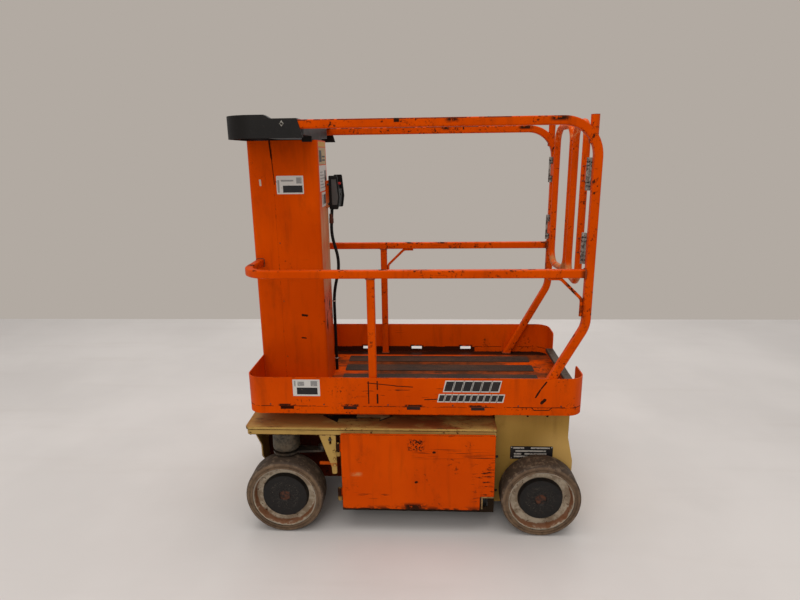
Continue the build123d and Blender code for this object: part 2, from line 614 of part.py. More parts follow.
def hydraulic_unit():
    """Oil tank with its pump motor, and the finned charger, behind the right-hand door."""
    y1 = TUB_HALF_W - 26
    y0 = y1 - TANK_WIDTH
    x0, x1 = TUB_FRONT_X + TANK_END, TUB_REAR_X - TANK_END
    middle = x0 + TANK_LENGTH / 2
    top = PLATE_UNDER - TANK_HEADROOM
    tank = block(x0, x0 + TANK_LENGTH, y0, y1, BAY_FLOOR, top)
    tank = fillet(tank.edges().filter_by(Axis.Y), 16)
    tank += block(middle - 35, middle + 35, y0 + 30, y1 - 30, top - 1, top + PUMP_RADIUS)
    tank += bar_y(middle, y0 + 10, y1 - 10, top + PUMP_RADIUS, PUMP_RADIUS)
    tank += post(x0 + 25, y1 - 30, top - 1, top + 26, 18)
    lid = PLATE_UNDER - CHARGER_HEADROOM
    charger = block(x1 - CHARGER_LENGTH, x1, y0 - 20, y1 - 6, BAY_FLOOR, lid)
    pitch = CHARGER_LENGTH / CHARGER_FINS
    for i in range(CHARGER_FINS):
        x = x1 - CHARGER_LENGTH + pitch * (i + 0.5)
        charger += block(x - 2, x + 2, y1 - 7, y1, BAY_FLOOR + 10, lid - 10)
    return together(tank, charger)


# ---- steering ---------------------------------------------------------------
def knuckle(side):
    """Kingpin, yoke, tapered leg, stub axle and steering arm of one front wheel."""
    body = post(FRONT_X, KING_Y, YOKE_TOP - YOKE_T, YOKE_TOP, KING_RADIUS)
    body += post(FRONT_X, KING_Y, YOKE_TOP - 1, PLATE_UNDER - KING_FLANGE_T - RUN, AXLE_RADIUS)
    hub = 50
    foot = hub - 5
    leg = [(FRONT_X - YOKE_LEG_W / 2, YOKE_TOP - 1), (FRONT_X - foot, WHEEL_Z), (FRONT_X + foot, WHEEL_Z),
           (FRONT_X + YOKE_LEG_W / 2, YOKE_TOP - 1)]
    y0, y1 = YOKE_LEG_Y - YOKE_LEG_T / 2, YOKE_LEG_Y + YOKE_LEG_T / 2
    body += slab_xz(leg, y0, y1)
    body += bar_y(FRONT_X, y0 - 30, y1, WHEEL_Z, hub)
    body += bar_y(FRONT_X, YOKE_LEG_Y, WHEEL_Y + AXLE_TIP, WHEEL_Z, AXLE_RADIUS)
    arm_x = FRONT_X + STEER_ARM
    arm = [(FRONT_X, KING_Y - 30), (arm_x, KING_Y - STEER_ARM_W / 2), (arm_x, KING_Y + STEER_ARM_W / 2),
           (FRONT_X, KING_Y + 30)]
    body += slab_xy(arm, YOKE_TOP - YOKE_T, YOKE_TOP)
    body += post(arm_x, KING_Y, YOKE_TOP - YOKE_T, YOKE_TOP, STEER_ARM_W / 2)
    body += post(arm_x, KING_Y, YOKE_TOP - 1, YOKE_TOP + SEAT + TIE_EYE_T + 4, STEER_PIN_RADIUS)
    return to_side(body, side)


def tie_rod():
    """Rod between the two steering arms, with an eye at each end and an adjusting sleeve."""
    x = FRONT_X + STEER_ARM
    low = YOKE_TOP + SEAT
    middle = low + TIE_EYE_T / 2
    rod = bar_y(x, -KING_Y, KING_Y, middle, TIE_RADIUS)
    sleeve = Plane.XZ * Pos(x, middle) * RegularPolygon(TIE_RADIUS + 3, 6)
    rod += Pos(0, 40, 0) * extrude(sleeve, 80)
    for name, side in SIDES:
        rod += post(x, side * KING_Y, low, low + TIE_EYE_T, STEER_ARM_W / 2)
    rod -= post(x, -KING_Y, low - 1, low + TIE_EYE_T + 1, STEER_PIN_RADIUS + PIN_FIT)
    return rod - post(x, KING_Y, low - 1, low + TIE_EYE_T + 1, STEER_PIN_RADIUS + OPEN_FIT)


# ---- doors ------------------------------------------------------------------
def door(side):
    """Pan-shaped side door with a cut corner and two lift-off hinge knuckles."""
    notch_x, notch_z = DOOR_REAR_X - DOOR_NOTCH_X, DOOR_BOTTOM + DOOR_NOTCH_Z
    points = [(DOOR_FRONT_X, DOOR_BOTTOM), (notch_x, DOOR_BOTTOM), (notch_x, notch_z),
              (DOOR_REAR_X, notch_z), (DOOR_REAR_X, DOOR_TOP), (DOOR_FRONT_X, DOOR_TOP)]
    panel = slab_xz(points, DOOR_IN_Y, DOOR_IN_Y + DOOR_T, DOOR_CORNER)
    hollow = Plane.XZ * offset(outline(points), amount=-DOOR_RIM, kind=Kind.INTERSECTION)
    panel -= Pos(0, DOOR_IN_Y + DOOR_T - DOOR_SKIN, 0) * extrude(hollow, DOOR_T)
    for z in DOOR_HINGE_Z:
        low, high = z + PIN_FIT * 10, z + DOOR_KNUCKLE - 2
        panel += block(DOOR_HINGE_X, DOOR_FRONT_X + 1, DOOR_HINGE_Y - 4, DOOR_HINGE_Y + 4, low, high)
        panel += post(DOOR_HINGE_X, DOOR_HINGE_Y, low, high, DOOR_HINGE_RADIUS)
        panel -= post(DOOR_HINGE_X, DOOR_HINGE_Y, low - 1, high + 1, DOOR_PIN_RADIUS + PIN_FIT)
    return to_side(panel, side)


# ---- mast -------------------------------------------------------------------
Section = namedtuple("Section", "half_w web_x tip_x wall low high")


def mast_sections():
    """The nested sections from the fixed one inwards, each one RUN clear of the last."""
    low = SPINE_BOTTOM + SHEET + SEAT
    high = COVER_TOP - MAST_HEADROOM
    sections = {"base": Section(MAST_HALF_W, MAST_WEB_X, MAST_WEB_X + MAST_DEPTH, BASE_WALL, low, high)}
    outer = sections["base"]
    web_x = BARREL_X + BARREL_RADIUS + RUN
    low += BARREL_FLOOR + SEAT
    for name in ("stage_1", "stage_2", "carriage"):
        gap = outer.wall + RUN
        low, high = low + RUN / 2, high - RUN + 2
        outer = Section(outer.half_w - gap, web_x, outer.tip_x - gap, MAST_WALL, low, high)
        sections[name] = outer
        web_x += MAST_WALL + RUN
    return sections


MAST = mast_sections()


def channel(name, lip=MAST_LIP):
    """One folded mast section with round folds, open towards the platform between two lips."""
    s = MAST[name]
    shape = rounded_plan(s.web_x, s.tip_x, s.half_w, MAST_CORNER)
    shape -= rounded_plan(s.web_x + s.wall, s.tip_x - s.wall, s.half_w - s.wall, MAST_CORNER - s.wall)
    mouth = s.half_w - s.wall - lip
    shape -= Pos(s.tip_x, 0) * Rectangle(4 * s.wall, 2 * mouth)
    return upright(shape, s.low, s.high)


def slide_pads(name, z0, inward):
    """Two wear pads on a section's flanks, filling the gap to its neighbour but for SEAT."""
    s = MAST[name]
    face = s.half_w - s.wall if inward else s.half_w
    other = face - RUN + SEAT if inward else face + RUN - SEAT
    x0 = max(s.tip_x - 70, s.web_x + s.wall + 3) if inward else s.web_x + 15
    pad = block(x0, s.tip_x - 14, min(face, other), max(face, other), z0, z0 + PAD_HEIGHT)
    return both_sides(pad)


def end_pads(name, bottom=True, top=True):
    """A section's bottom pads, which bear outward, and its top pads, which bear inward."""
    s = MAST[name]
    pads = []
    if bottom:
        pads.append(slide_pads(name, s.low + PAD_END, False))
    if top:
        pads.append(slide_pads(name, s.high - PAD_END - PAD_HEIGHT, True))
    return together(*pads)


def lift_barrel():
    """Cylinder barrel that stands on the spine's floor inside the fixed section."""
    low = MAST["base"].low
    top = low + BARREL_LENGTH
    barrel = post(BARREL_X, 0, low, top, BARREL_RADIUS)
    barrel -= post(BARREL_X, 0, low + BARREL_FLOOR, top - GLAND_T, BARREL_BORE)
    return barrel - post(BARREL_X, 0, low + BARREL_FLOOR, top + 1, ROD_RADIUS + PIN_FIT)


def rod_span():
    """Lowest and highest point of the piston rod when the mast is down."""
    low = MAST["base"].low
    return low + BARREL_FLOOR + 4, low + BARREL_LENGTH + ROD_REACH


def lift_rod():
    """Piston rod that lifts the first stage."""
    low, high = rod_span()
    rod = post(BARREL_X, 0, low, high, ROD_RADIUS)
    return rod + post(BARREL_X, 0, low, low + PISTON_T, BARREL_BORE - SEAT)


def stage_1():
    """First moving section with the gusseted crosshead that the rod pushes."""
    s = MAST["stage_1"]
    low = rod_span()[1] + SEAT
    front = BARREL_X - 22
    head = block(front, s.web_x + 1, -24, 24, low, low + CROSSHEAD_T)
    knee_z = low + CROSSHEAD_T - 1
    knee = [(front + 6, knee_z), (s.web_x + 1, knee_z), (s.web_x + 1, knee_z + 49)]
    return channel("stage_1") + head + slab_xz(knee, -20, -14) + slab_xz(knee, 14, 20)


def carriage():
    """Innermost section, with the tapered beam under the deck and the arm that holds the cover."""
    s = MAST["carriage"]
    body = channel("carriage", lip=0)
    top = DECK_UNDER - SEAT
    tip = s.web_x + FOOT_LENGTH
    side_points = [(s.web_x + 1, top), (s.web_x + 1, top - FOOT_T), (s.tip_x, top - FOOT_T),
                   (tip, top - FOOT_TIP_T), (tip, top)]
    beam = slab_xz(side_points, -FOOT_HALF_W, FOOT_HALF_W)
    flange = 7
    pocket = [(s.tip_x + 14, top - flange), (s.tip_x + 14, top - FOOT_T + flange),
              (tip - 14, top - FOOT_TIP_T + flange), (tip - 14, top - flange)]
    for y0, y1 in ((-FOOT_HALF_W - 1, -flange), (flange, FOOT_HALF_W + 1)):
        beam -= slab_xz(pocket, y0, y1, 2)
    arm_z = MAST["base"].high + RUN
    arm = block(s.web_x, COVER_REAR_X - COVER_WALL - SEAT, -FOOT_HALF_W, FOOT_HALF_W, arm_z, arm_z + ARM_T)
    neck = block(s.web_x, s.web_x + s.wall, -FOOT_HALF_W, FOOT_HALF_W, s.high - 1, arm_z + 1)
    return body + beam + arm + neck


# ---- platform ---------------------------------------------------------------
def deck_ring(wall):
    """Plan of an upright wall of the given thickness round the deck."""
    outer = rounded_plan(DECK_FRONT_X, DECK_REAR_X, DECK_HALF_W, DECK_CORNER)
    inner = rounded_plan(DECK_FRONT_X + wall, DECK_REAR_X - wall, DECK_HALF_W - wall, DECK_CORNER - wall)
    return outer - inner


def cover_gap(z0, z1):
    """The space that the mast cover takes out of the deck and its edge."""
    half = COVER_HALF_W + SEAT
    return block(DECK_FRONT_X - 10, COVER_REAR_X + SEAT, -half, half, z0, z1)


def drain_slots(z0, z1):
    """The row of slots along both long edges, between two heights."""
    length = DRAIN_SLOT[0]
    first = DECK_FRONT_X + 162
    slots = []
    for i in range(DRAIN_SLOTS):
        x = first + DRAIN_PITCH * i
        slots.append(block(x - length / 2, x + length / 2, -BEYOND, BEYOND, z0, z1))
    return together(*slots)


def deck_pan():
    """Deck plate with a turned-up lip and ribs below, cut out round the mast cover."""
    plan = rounded_plan(DECK_FRONT_X, DECK_REAR_X, DECK_HALF_W, DECK_CORNER)
    pan = upright(plan, DECK_UNDER, DECK_TOP)
    pan += upright(deck_ring(BOARD_T), DECK_UNDER, DECK_LIP_TOP)
    pan -= drain_slots(DECK_LIP_TOP - DRAIN_SLOT[1], BEYOND)
    low = DECK_UNDER - RIB_DEPTH
    x0, x1 = COVER_REAR_X + 30, PLATE_REAR_X - 20
    for name, side in SIDES:
        near, far = sorted((side * (FOOT_HALF_W + RUN), side * (DECK_HALF_W - 40)))
        for x in (x0, (x0 + x1) / 2, x1):
            pan += block(x - 4, x + 4, near, far, low, DECK_UNDER + 1)
        y = side * (DECK_HALF_W - 40)
        pan += block(x0 - 4, x1 + 4, y - 4, y + 4, low, DECK_UNDER + 1)
    return pan - cover_gap(0, TOE_TOP)


def deck_grip():
    """Anti-slip strips on the deck."""
    count = int((2 * DECK_HALF_W - GRIP_SIDE_GAP) // GRIP_PITCH)
    x0, x1 = COVER_REAR_X + GRIP_FRONT_GAP, DECK_REAR_X - GRIP_REAR_GAP
    strips = []
    for i in range(count):
        y = GRIP_PITCH * (i - (count - 1) / 2)
        plan = Pos((x0 + x1) / 2, y) * RectangleRounded(x1 - x0, GRIP_WIDTH, 8)
        strips.append(upright(plan, DECK_TOP, DECK_TOP + 3))
    return together(*strips)


def toe_board():
    """Upright band on the deck lip that wraps round the rear corners and ends in round tabs."""
    band = upright(deck_ring(BOARD_T), DECK_LIP_TOP, TOE_TOP)
    band -= cover_gap(0, TOE_TOP + 1)
    half = DECK_HALF_W - TOE_RETURN
    band -= block(DECK_REAR_X - 30, DECK_REAR_X + 1, -half, half, 0, TOE_TOP + 1)
    ends = [e for e in band.edges().filter_by(Axis.X)
            if e.center().Z > TOE_TOP - 1 and e.center().X > 0 and abs(e.center().Y) < half + 1]
    band = fillet(ends, 16)
    return band - drain_slots(0, DECK_LIP_TOP + DRAIN_SLOT[2])


def entry_sill():
    """Low folded board and tread across the entry."""
    half = DECK_HALF_W - TOE_RETURN - SEAT
    inner_x = DECK_REAR_X - SILL_DEPTH
    points = [(DECK_REAR_X, DECK_LIP_TOP), (DECK_REAR_X, SILL_TOP), (inner_x, SILL_TOP),
              (inner_x, SILL_TOP - 14), (inner_x + BOARD_T, SILL_TOP - 14),
              (inner_x + BOARD_T, SILL_TOP - BOARD_T),
              (DECK_REAR_X - BOARD_T, SILL_TOP - BOARD_T), (DECK_REAR_X - BOARD_T, DECK_LIP_TOP)]
    return slab_xz(points, -half, half)


def side_frame(side):
    """Top rail, rear post and raked leg bent from one square tube, with the gate stub."""
    low = DECK_TOP + SEAT
    foot_x = POST_X - LEG_RAKE
    slope = LEG_RAKE / (KNEE_Z - low)
    tail_z = low - 2 * RAIL_HALF
    points = [(RAIL_FRONT_X, SEAT, TOP_RAIL_Z), (RAIL_FRONT_X, RAIL_Y, TOP_RAIL_Z),
              (POST_X, RAIL_Y, TOP_RAIL_Z), (POST_X, RAIL_Y, KNEE_Z),
              (POST_X - slope * (KNEE_Z - tail_z), RAIL_Y, tail_z)]
    tube = bent_bar(points, [RAIL_FRONT_BEND, POST_BEND, KNEE_BEND], RAIL_HALF, RAIL_CORNER)
    tube -= block(foot_x - 200, foot_x + 200, 0, BEYOND, 0, low)
    tube += post(STUB_X, RAIL_Y, TOP_RAIL_Z - 79, TOP_RAIL_Z + 18, STUB_RADIUS)
    return to_side(tube, side)


def mid_rail(side):
    """Mid rail from the mast cover to the rear post, with its post and one bent brace.

    The brace stands in front of the rear post on the left, and behind the mid post on the right.
    """
    rear = POST_X - RAIL_HALF - SEAT
    points = [(RAIL_FRONT_X, COVER_HALF_W + SEAT, MID_RAIL_Z), (RAIL_FRONT_X, RAIL_Y, MID_RAIL_Z),
              (rear, RAIL_Y, MID_RAIL_Z)]
    rail = bent_bar(points, [RAIL_FRONT_BEND], RAIL_HALF, RAIL_CORNER)
    rail += square_post(MID_POST_X, RAIL_Y, DECK_TOP + SEAT, MID_RAIL_Z, RAIL_HALF, RAIL_CORNER)
    foot, ahead = rear - BRACE_RADIUS, -1
    if side > 0:
        foot, ahead = MID_POST_X + RAIL_HALF + BRACE_RADIUS - 1, 1
    turn = foot + ahead * (BRACE_REACH - BRACE_RADIUS)
    under = MID_RAIL_Z - RAIL_HALF - BRACE_RADIUS + 2
    brace = [(turn + ahead * BRACE_RUN, RAIL_Y, under), (turn, RAIL_Y, under),
             (foot, RAIL_Y, under - BRACE_DROP), (foot, RAIL_Y, under - BRACE_DROP - BRACE_FOOT)]
    rail += bent_tube(brace, [25, 25], BRACE_RADIUS)
    return to_side(rail, side)


# ---- mast cover, tray and controls ------------------------------------------
def cover_shell(x0, x1):
    """The tall folded mast cover, between two distances along."""
    plan = rounded_plan(COVER_FRONT_X, COVER_REAR_X, COVER_HALF_W, COVER_CORNER)
    plan -= rounded_plan(COVER_FRONT_X + COVER_WALL, COVER_REAR_X - COVER_WALL, COVER_HALF_W - COVER_WALL,
                         COVER_CORNER - COVER_WALL)
    return upright(plan, DECK_UNDER, COVER_TOP) & block(x0, x1, -BEYOND, BEYOND, 0, BEYOND)


def tool_tray():
    """Moulded tray over the front of the top rails: raised nose, slanted arm ends, saddle on the cover."""
    front = RAIL_FRONT_X - RAIL_HALF - TRAY_NOSE_GAP - TRAY_WALL
    corner = RAIL_FRONT_BEND + RAIL_HALF + SEAT
    beyond = TRAY_REAR_X + 2 * corner
    nose_top = TRAY_TOP + TRAY_NOSE_RISE
    nose_x = front + TRAY_NOSE_LENGTH
    outer = rounded_plan(front, beyond, DECK_HALF_W, corner + TRAY_WALL)
    inner = rounded_plan(front + TRAY_WALL, beyond, DECK_HALF_W - TRAY_WALL, corner)
    half = RAIL_Y - RAIL_HALF - SEAT
    well_front = RAIL_FRONT_X + RAIL_HALF + SEAT
    well_rear = TRAY_REAR_X - TRAY_END_SLANT
    well_corner = RAIL_FRONT_BEND - RAIL_HALF - SEAT
    well_out = rounded_plan(well_front, well_rear, half, well_corner)
    well = rounded_plan(well_front + TRAY_WALL, well_rear - TRAY_WALL, half - TRAY_WALL, well_corner - TRAY_WALL)
    side_points = [(front - 1, TRAY_BOTTOM), (TRAY_REAR_X, TRAY_BOTTOM),
                   (well_rear, TRAY_TOP), (nose_x + TRAY_SLOPE, TRAY_TOP),
                   (nose_x, nose_top), (front - 1, nose_top)]
    tray = upright(outer, TRAY_BOTTOM, nose_top) & slab_xz(side_points, -BEYOND, BEYOND)
    tray -= upright(inner - well_out, TRAY_BOTTOM - 1, TRAY_TOP - TRAY_WALL)
    tray -= upright(well_out, TRAY_BOTTOM - 1, TRAY_FLOOR)
    tray -= upright(well, TRAY_FLOOR + TRAY_WALL, BEYOND)
    saddle_half = COVER_HALF_W + SADDLE_WALL
    saddle = block(well_rear - SADDLE_LENGTH, well_rear, -saddle_half, saddle_half, COVER_TOP - SADDLE_WALL,
                   TRAY_FLOOR + 24)
    half = COVER_HALF_W + SEAT
    saddle -= block(COVER_FRONT_X, COVER_REAR_X, -half, half, 0, TRAY_BOTTOM)
    return tray + saddle


def control_box():
    """Platform control housing: a sloping panel between two cheeks that guard its stick and stop button."""
    x0, x1 = BOX_X, BOX_X + BOX_DEPTH
    y0, y1 = BOX_Y0, BOX_Y0 + BOX_WIDTH
    lean, inset, recess = 8, 6, 64
    cheek = [(x0, BOX_BOTTOM), (x1 - lean, BOX_BOTTOM), (x1, BOX_BOTTOM + 50), (x1 - lean, BOX_TOP),
             (x0, BOX_TOP)]
    box = slab_xz(cheek, y0, y0 + CHEEK_T, 5) + slab_xz(cheek, y1 - CHEEK_T, y1, 5)
    core = [(x0, BOX_BOTTOM + inset), (x1 - lean - inset, BOX_BOTTOM + inset), (x1 - lean, BOX_BOTTOM + 50),
            (x1 - lean, BOX_TOP - recess), (x0 + 8, BOX_TOP - recess + 14), (x0 + 8, BOX_TOP - inset),
            (x0, BOX_TOP - inset)]
    box += slab_xz(core, y0 + CHEEK_T - 1, y1 - CHEEK_T + 1)
    x, panel_z = x0 + 23, BOX_TOP - recess
    stick_y, stop_y = y0 + 50, y1 - 38
    box += post(x, stick_y, panel_z, panel_z + 14, 13)
    box += post(x, stick_y, panel_z + 13, panel_z + 44, 4)
    box += Pos(x, stick_y, panel_z + 48) * Sphere(9)
    box += post(x, stop_y, panel_z, panel_z + 22, 8)
    return box + post(x, stop_y, panel_z + 21, panel_z + 31, 14)


def box_bracket():
    """Round-cornered plate that hangs the control housing on the mast cover."""
    y0, y1 = COVER_HALF_W - 60, BOX_Y0 + BOX_WIDTH - 20
    z0, z1 = BOX_BOTTOM + 10, BOX_TOP - 20
    points = [(y0, z0), (y1, z0), (y1, z1), (y0, z1)]
    return slab_yz(points, COVER_REAR_X + SEAT, BOX_X - SEAT, 12)


def control_cable():
    """Cable that hangs down the rear of the mast cover in one slack bow, from the controls to the deck."""
    x = COVER_REAR_X + SEAT + CABLE_RADIUS
    y = BOX_Y0 + CABLE_RADIUS + 1
    points = [(x + 8, y, BOX_BOTTOM - 2 * SEAT), (x, y, BOX_BOTTOM - 110), (x + CABLE_BOW, y, BOX_BOTTOM - 245),
              (x, y, BOX_BOTTOM - 380), (x, y, DECK_TOP + SEAT)]
    return bent_tube(points, [270, 240, 480], CABLE_RADIUS)


# ---- gates ------------------------------------------------------------------
def gate(side):
    """One half-gate: a rounded tube loop with two hinge knuckles."""
    points = [(GATE_OUTER_X, GATE_OUTER_Y, GATE_BOTTOM_Z), (GATE_OUTER_X, GATE_OUTER_Y, GATE_TOP_Z),
              (GATE_FREE_X, GATE_GAP, GATE_TOP_Z), (GATE_FREE_X, GATE_GAP, GATE_BOTTOM_Z)]
    loop = bent_tube(points, GATE_BEND, GATE_RADIUS, closed=True)
    dx, dy = GATE_OUTER_X - GATE_HINGE_X, GATE_OUTER_Y - GATE_HINGE_Y
    length = hypot(dx, dy) - GATE_PIN_RADIUS - 1
    for z in GATE_HINGE_Z:
        low, high = z - GATE_KNUCKLE_H / 2, z + GATE_KNUCKLE_H / 2
        arm = Rot(0, 0, degrees(atan2(dy, dx))) * Box(length, GATE_STRAP_T, GATE_KNUCKLE_H)
        loop += Pos(GATE_HINGE_X + dx / 2, GATE_HINGE_Y + dy / 2, z) * arm
        loop += post(GATE_HINGE_X, GATE_HINGE_Y, low, high, GATE_LUG_RADIUS)
        loop -= post(GATE_HINGE_X, GATE_HINGE_Y, low - 1, high + 1, GATE_PIN_RADIUS + PIN_FIT)
    return to_side(loop, side)


def gate_hinge(side):
    """Post side of the two gate hinges: lugs, straps that reach the post, and pins."""
    dx, dy = POST_X - GATE_HINGE_X, RAIL_Y - GATE_HINGE_Y
    near = GATE_PIN_RADIUS
    corner_out = hypot(RAIL_HALF - RAIL_CORNER, RAIL_HALF - RAIL_CORNER) + RAIL_CORNER
    far = hypot(dx, dy) - corner_out - SEAT
    share = (near + far) / 2 / hypot(dx, dy)
    gap = GATE_KNUCKLE_H / 2 + PIN_FIT * 10
    hinges = []
    for z in GATE_HINGE_Z:
        low, high = z - GATE_STRAP_H / 2, z + GATE_STRAP_H / 2
        strap = Rot(0, 0, degrees(atan2(dy, dx))) * Box(far - near, GATE_STRAP_T, GATE_STRAP_H)
        hinge = Pos(GATE_HINGE_X + dx * share, GATE_HINGE_Y + dy * share, z) * strap
        hinge += post(GATE_HINGE_X, GATE_HINGE_Y, low, high, GATE_LUG_RADIUS)
        hinge -= post(GATE_HINGE_X, GATE_HINGE_Y, z - gap, z + gap, GATE_LUG_RADIUS + 1.5)
        hinges.append(hinge + post(GATE_HINGE_X, GATE_HINGE_Y, low, high, GATE_PIN_RADIUS))
    return to_side(together(*hinges), side)


# ---- write every piece ------------------------------------------------------
save("chassis_plate", chassis_plate())
save("chassis_tub", chassis_tub())
save("latch_brackets", together(latch_bracket(-1), latch_bracket(1)))
save("chassis_spine", chassis_spine())
save("front_apron", front_apron())
save("bay_gussets", together(bay_gusset(-1), bay_gusset(1)))
save("king_housings", together(king_housing(-1), king_housing(1)))
save("rear_frame", rear_frame())
save("rear_axle", rear_axle())
save("rear_cover", rear_cover())
save("battery_pack", battery_pack())
save("hydraulic_unit", hydraulic_unit())

for name, side in SIDES:
    save("knuckle_" + name, knuckle(side))
    save("door_" + name, door(side))
    save("side_frame_" + name, side_frame(side))
    save("mid_rail_" + name, mid_rail(side))
    save("gate_" + name, gate(side))
    save("gate_hinges_" + name, gate_hinge(side))
    for place, x in (("front", FRONT_X), ("rear", REAR_X)):
        save("tyre_" + place + "_" + name, tyre(x, side))
        save("rim_" + place + "_" + name, rim(place, x, side))
save("tie_rod", tie_rod())

save("mast_base", channel("base"))
save("mast_base_pads", end_pads("base", bottom=False))
save("lift_barrel", lift_barrel())
save("lift_rod", lift_rod())
save("mast_stage_1", stage_1())
save("stage_1_pads", end_pads("stage_1"))
save("mast_stage_2", channel("stage_2"))
save("stage_2_pads", end_pads("stage_2"))
save("carriage", carriage())
save("carriage_pads", end_pads("carriage", top=False))

save("deck_pan", deck_pan())
save("deck_grip", deck_grip())
save("toe_board", toe_board())
save("entry_sill", entry_sill())
save("mast_cover_front", cover_shell(-BEYOND, COVER_SEAM_X - SEAT / 2))
save("mast_cover_rear", cover_shell(COVER_SEAM_X + SEAT / 2, BEYOND))
save("tool_tray", tool_tray())
save("control_box", control_box())
save("box_bracket", box_bracket())
save("control_cable", control_cable())
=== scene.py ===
"""Looks of a compact vertical-mast lift: finishes for its parts, and the small fittings they carry."""

import bpy
import numpy as np
from mathutils import Matrix, Vector


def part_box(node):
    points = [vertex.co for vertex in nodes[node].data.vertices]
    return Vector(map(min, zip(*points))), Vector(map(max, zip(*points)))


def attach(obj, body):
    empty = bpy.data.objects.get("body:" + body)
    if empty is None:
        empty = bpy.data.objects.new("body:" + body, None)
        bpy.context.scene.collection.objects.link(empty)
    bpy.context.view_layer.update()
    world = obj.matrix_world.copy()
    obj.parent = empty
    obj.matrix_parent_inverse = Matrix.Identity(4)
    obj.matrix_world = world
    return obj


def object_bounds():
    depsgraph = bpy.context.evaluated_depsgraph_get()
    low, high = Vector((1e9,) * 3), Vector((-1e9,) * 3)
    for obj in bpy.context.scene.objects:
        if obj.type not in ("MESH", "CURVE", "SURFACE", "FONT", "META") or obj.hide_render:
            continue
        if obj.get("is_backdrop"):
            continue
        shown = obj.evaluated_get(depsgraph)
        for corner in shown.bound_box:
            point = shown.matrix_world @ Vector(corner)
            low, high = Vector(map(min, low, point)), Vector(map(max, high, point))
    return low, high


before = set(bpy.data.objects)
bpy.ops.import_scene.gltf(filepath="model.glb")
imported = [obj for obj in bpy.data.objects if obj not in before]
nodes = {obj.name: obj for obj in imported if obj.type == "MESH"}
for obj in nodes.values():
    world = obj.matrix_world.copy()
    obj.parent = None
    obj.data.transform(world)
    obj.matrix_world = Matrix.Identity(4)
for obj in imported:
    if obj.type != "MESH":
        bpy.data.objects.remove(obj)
cad_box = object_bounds()

# ---- The view ----
# A person of average height holds the camera at eye level, about two metres from the
# machine's left-hand side, tilted down and a touch off the square.
EYE = (0.0627, -2.3746, 1.5286)
PITCH, YAW, ROLL = np.radians((14.61, 2.839, 0.7575))
ahead = Vector((-np.sin(YAW) * np.cos(PITCH), np.cos(YAW) * np.cos(PITCH), -np.sin(PITCH)))
level = Vector((np.cos(YAW), np.sin(YAW), 0))
above = level.cross(ahead)
right = level * np.cos(ROLL) - above * np.sin(ROLL)
up = level * np.sin(ROLL) + above * np.cos(ROLL)
camera = bpy.data.objects.new("camera", bpy.data.cameras.new("camera"))
camera.data.lens = 24.995
camera.data.sensor_width = 36.0
camera.data.clip_end = 60
turn = Matrix((right, up, -ahead)).transposed().to_4x4()
camera.matrix_world = Matrix.Translation(EYE) @ turn
bpy.context.scene.collection.objects.link(camera)
bpy.context.scene.camera = camera


# ---- Floor and light ----
# A pale sealed concrete floor that stops at the foot of a pale wall, lit by wide soft
# lamps overhead, behind the viewer and beyond the machine.
def linear(red, green, blue):
    """Screen colour from 0 to 255 as the linear colour that a shader takes."""
    value = np.array((red, green, blue)) / 255.0
    value = np.where(value < 0.04045, value / 12.92, ((value + 0.055) / 1.055) ** 2.4)
    return (float(value[0]), float(value[1]), float(value[2]), 1.0)


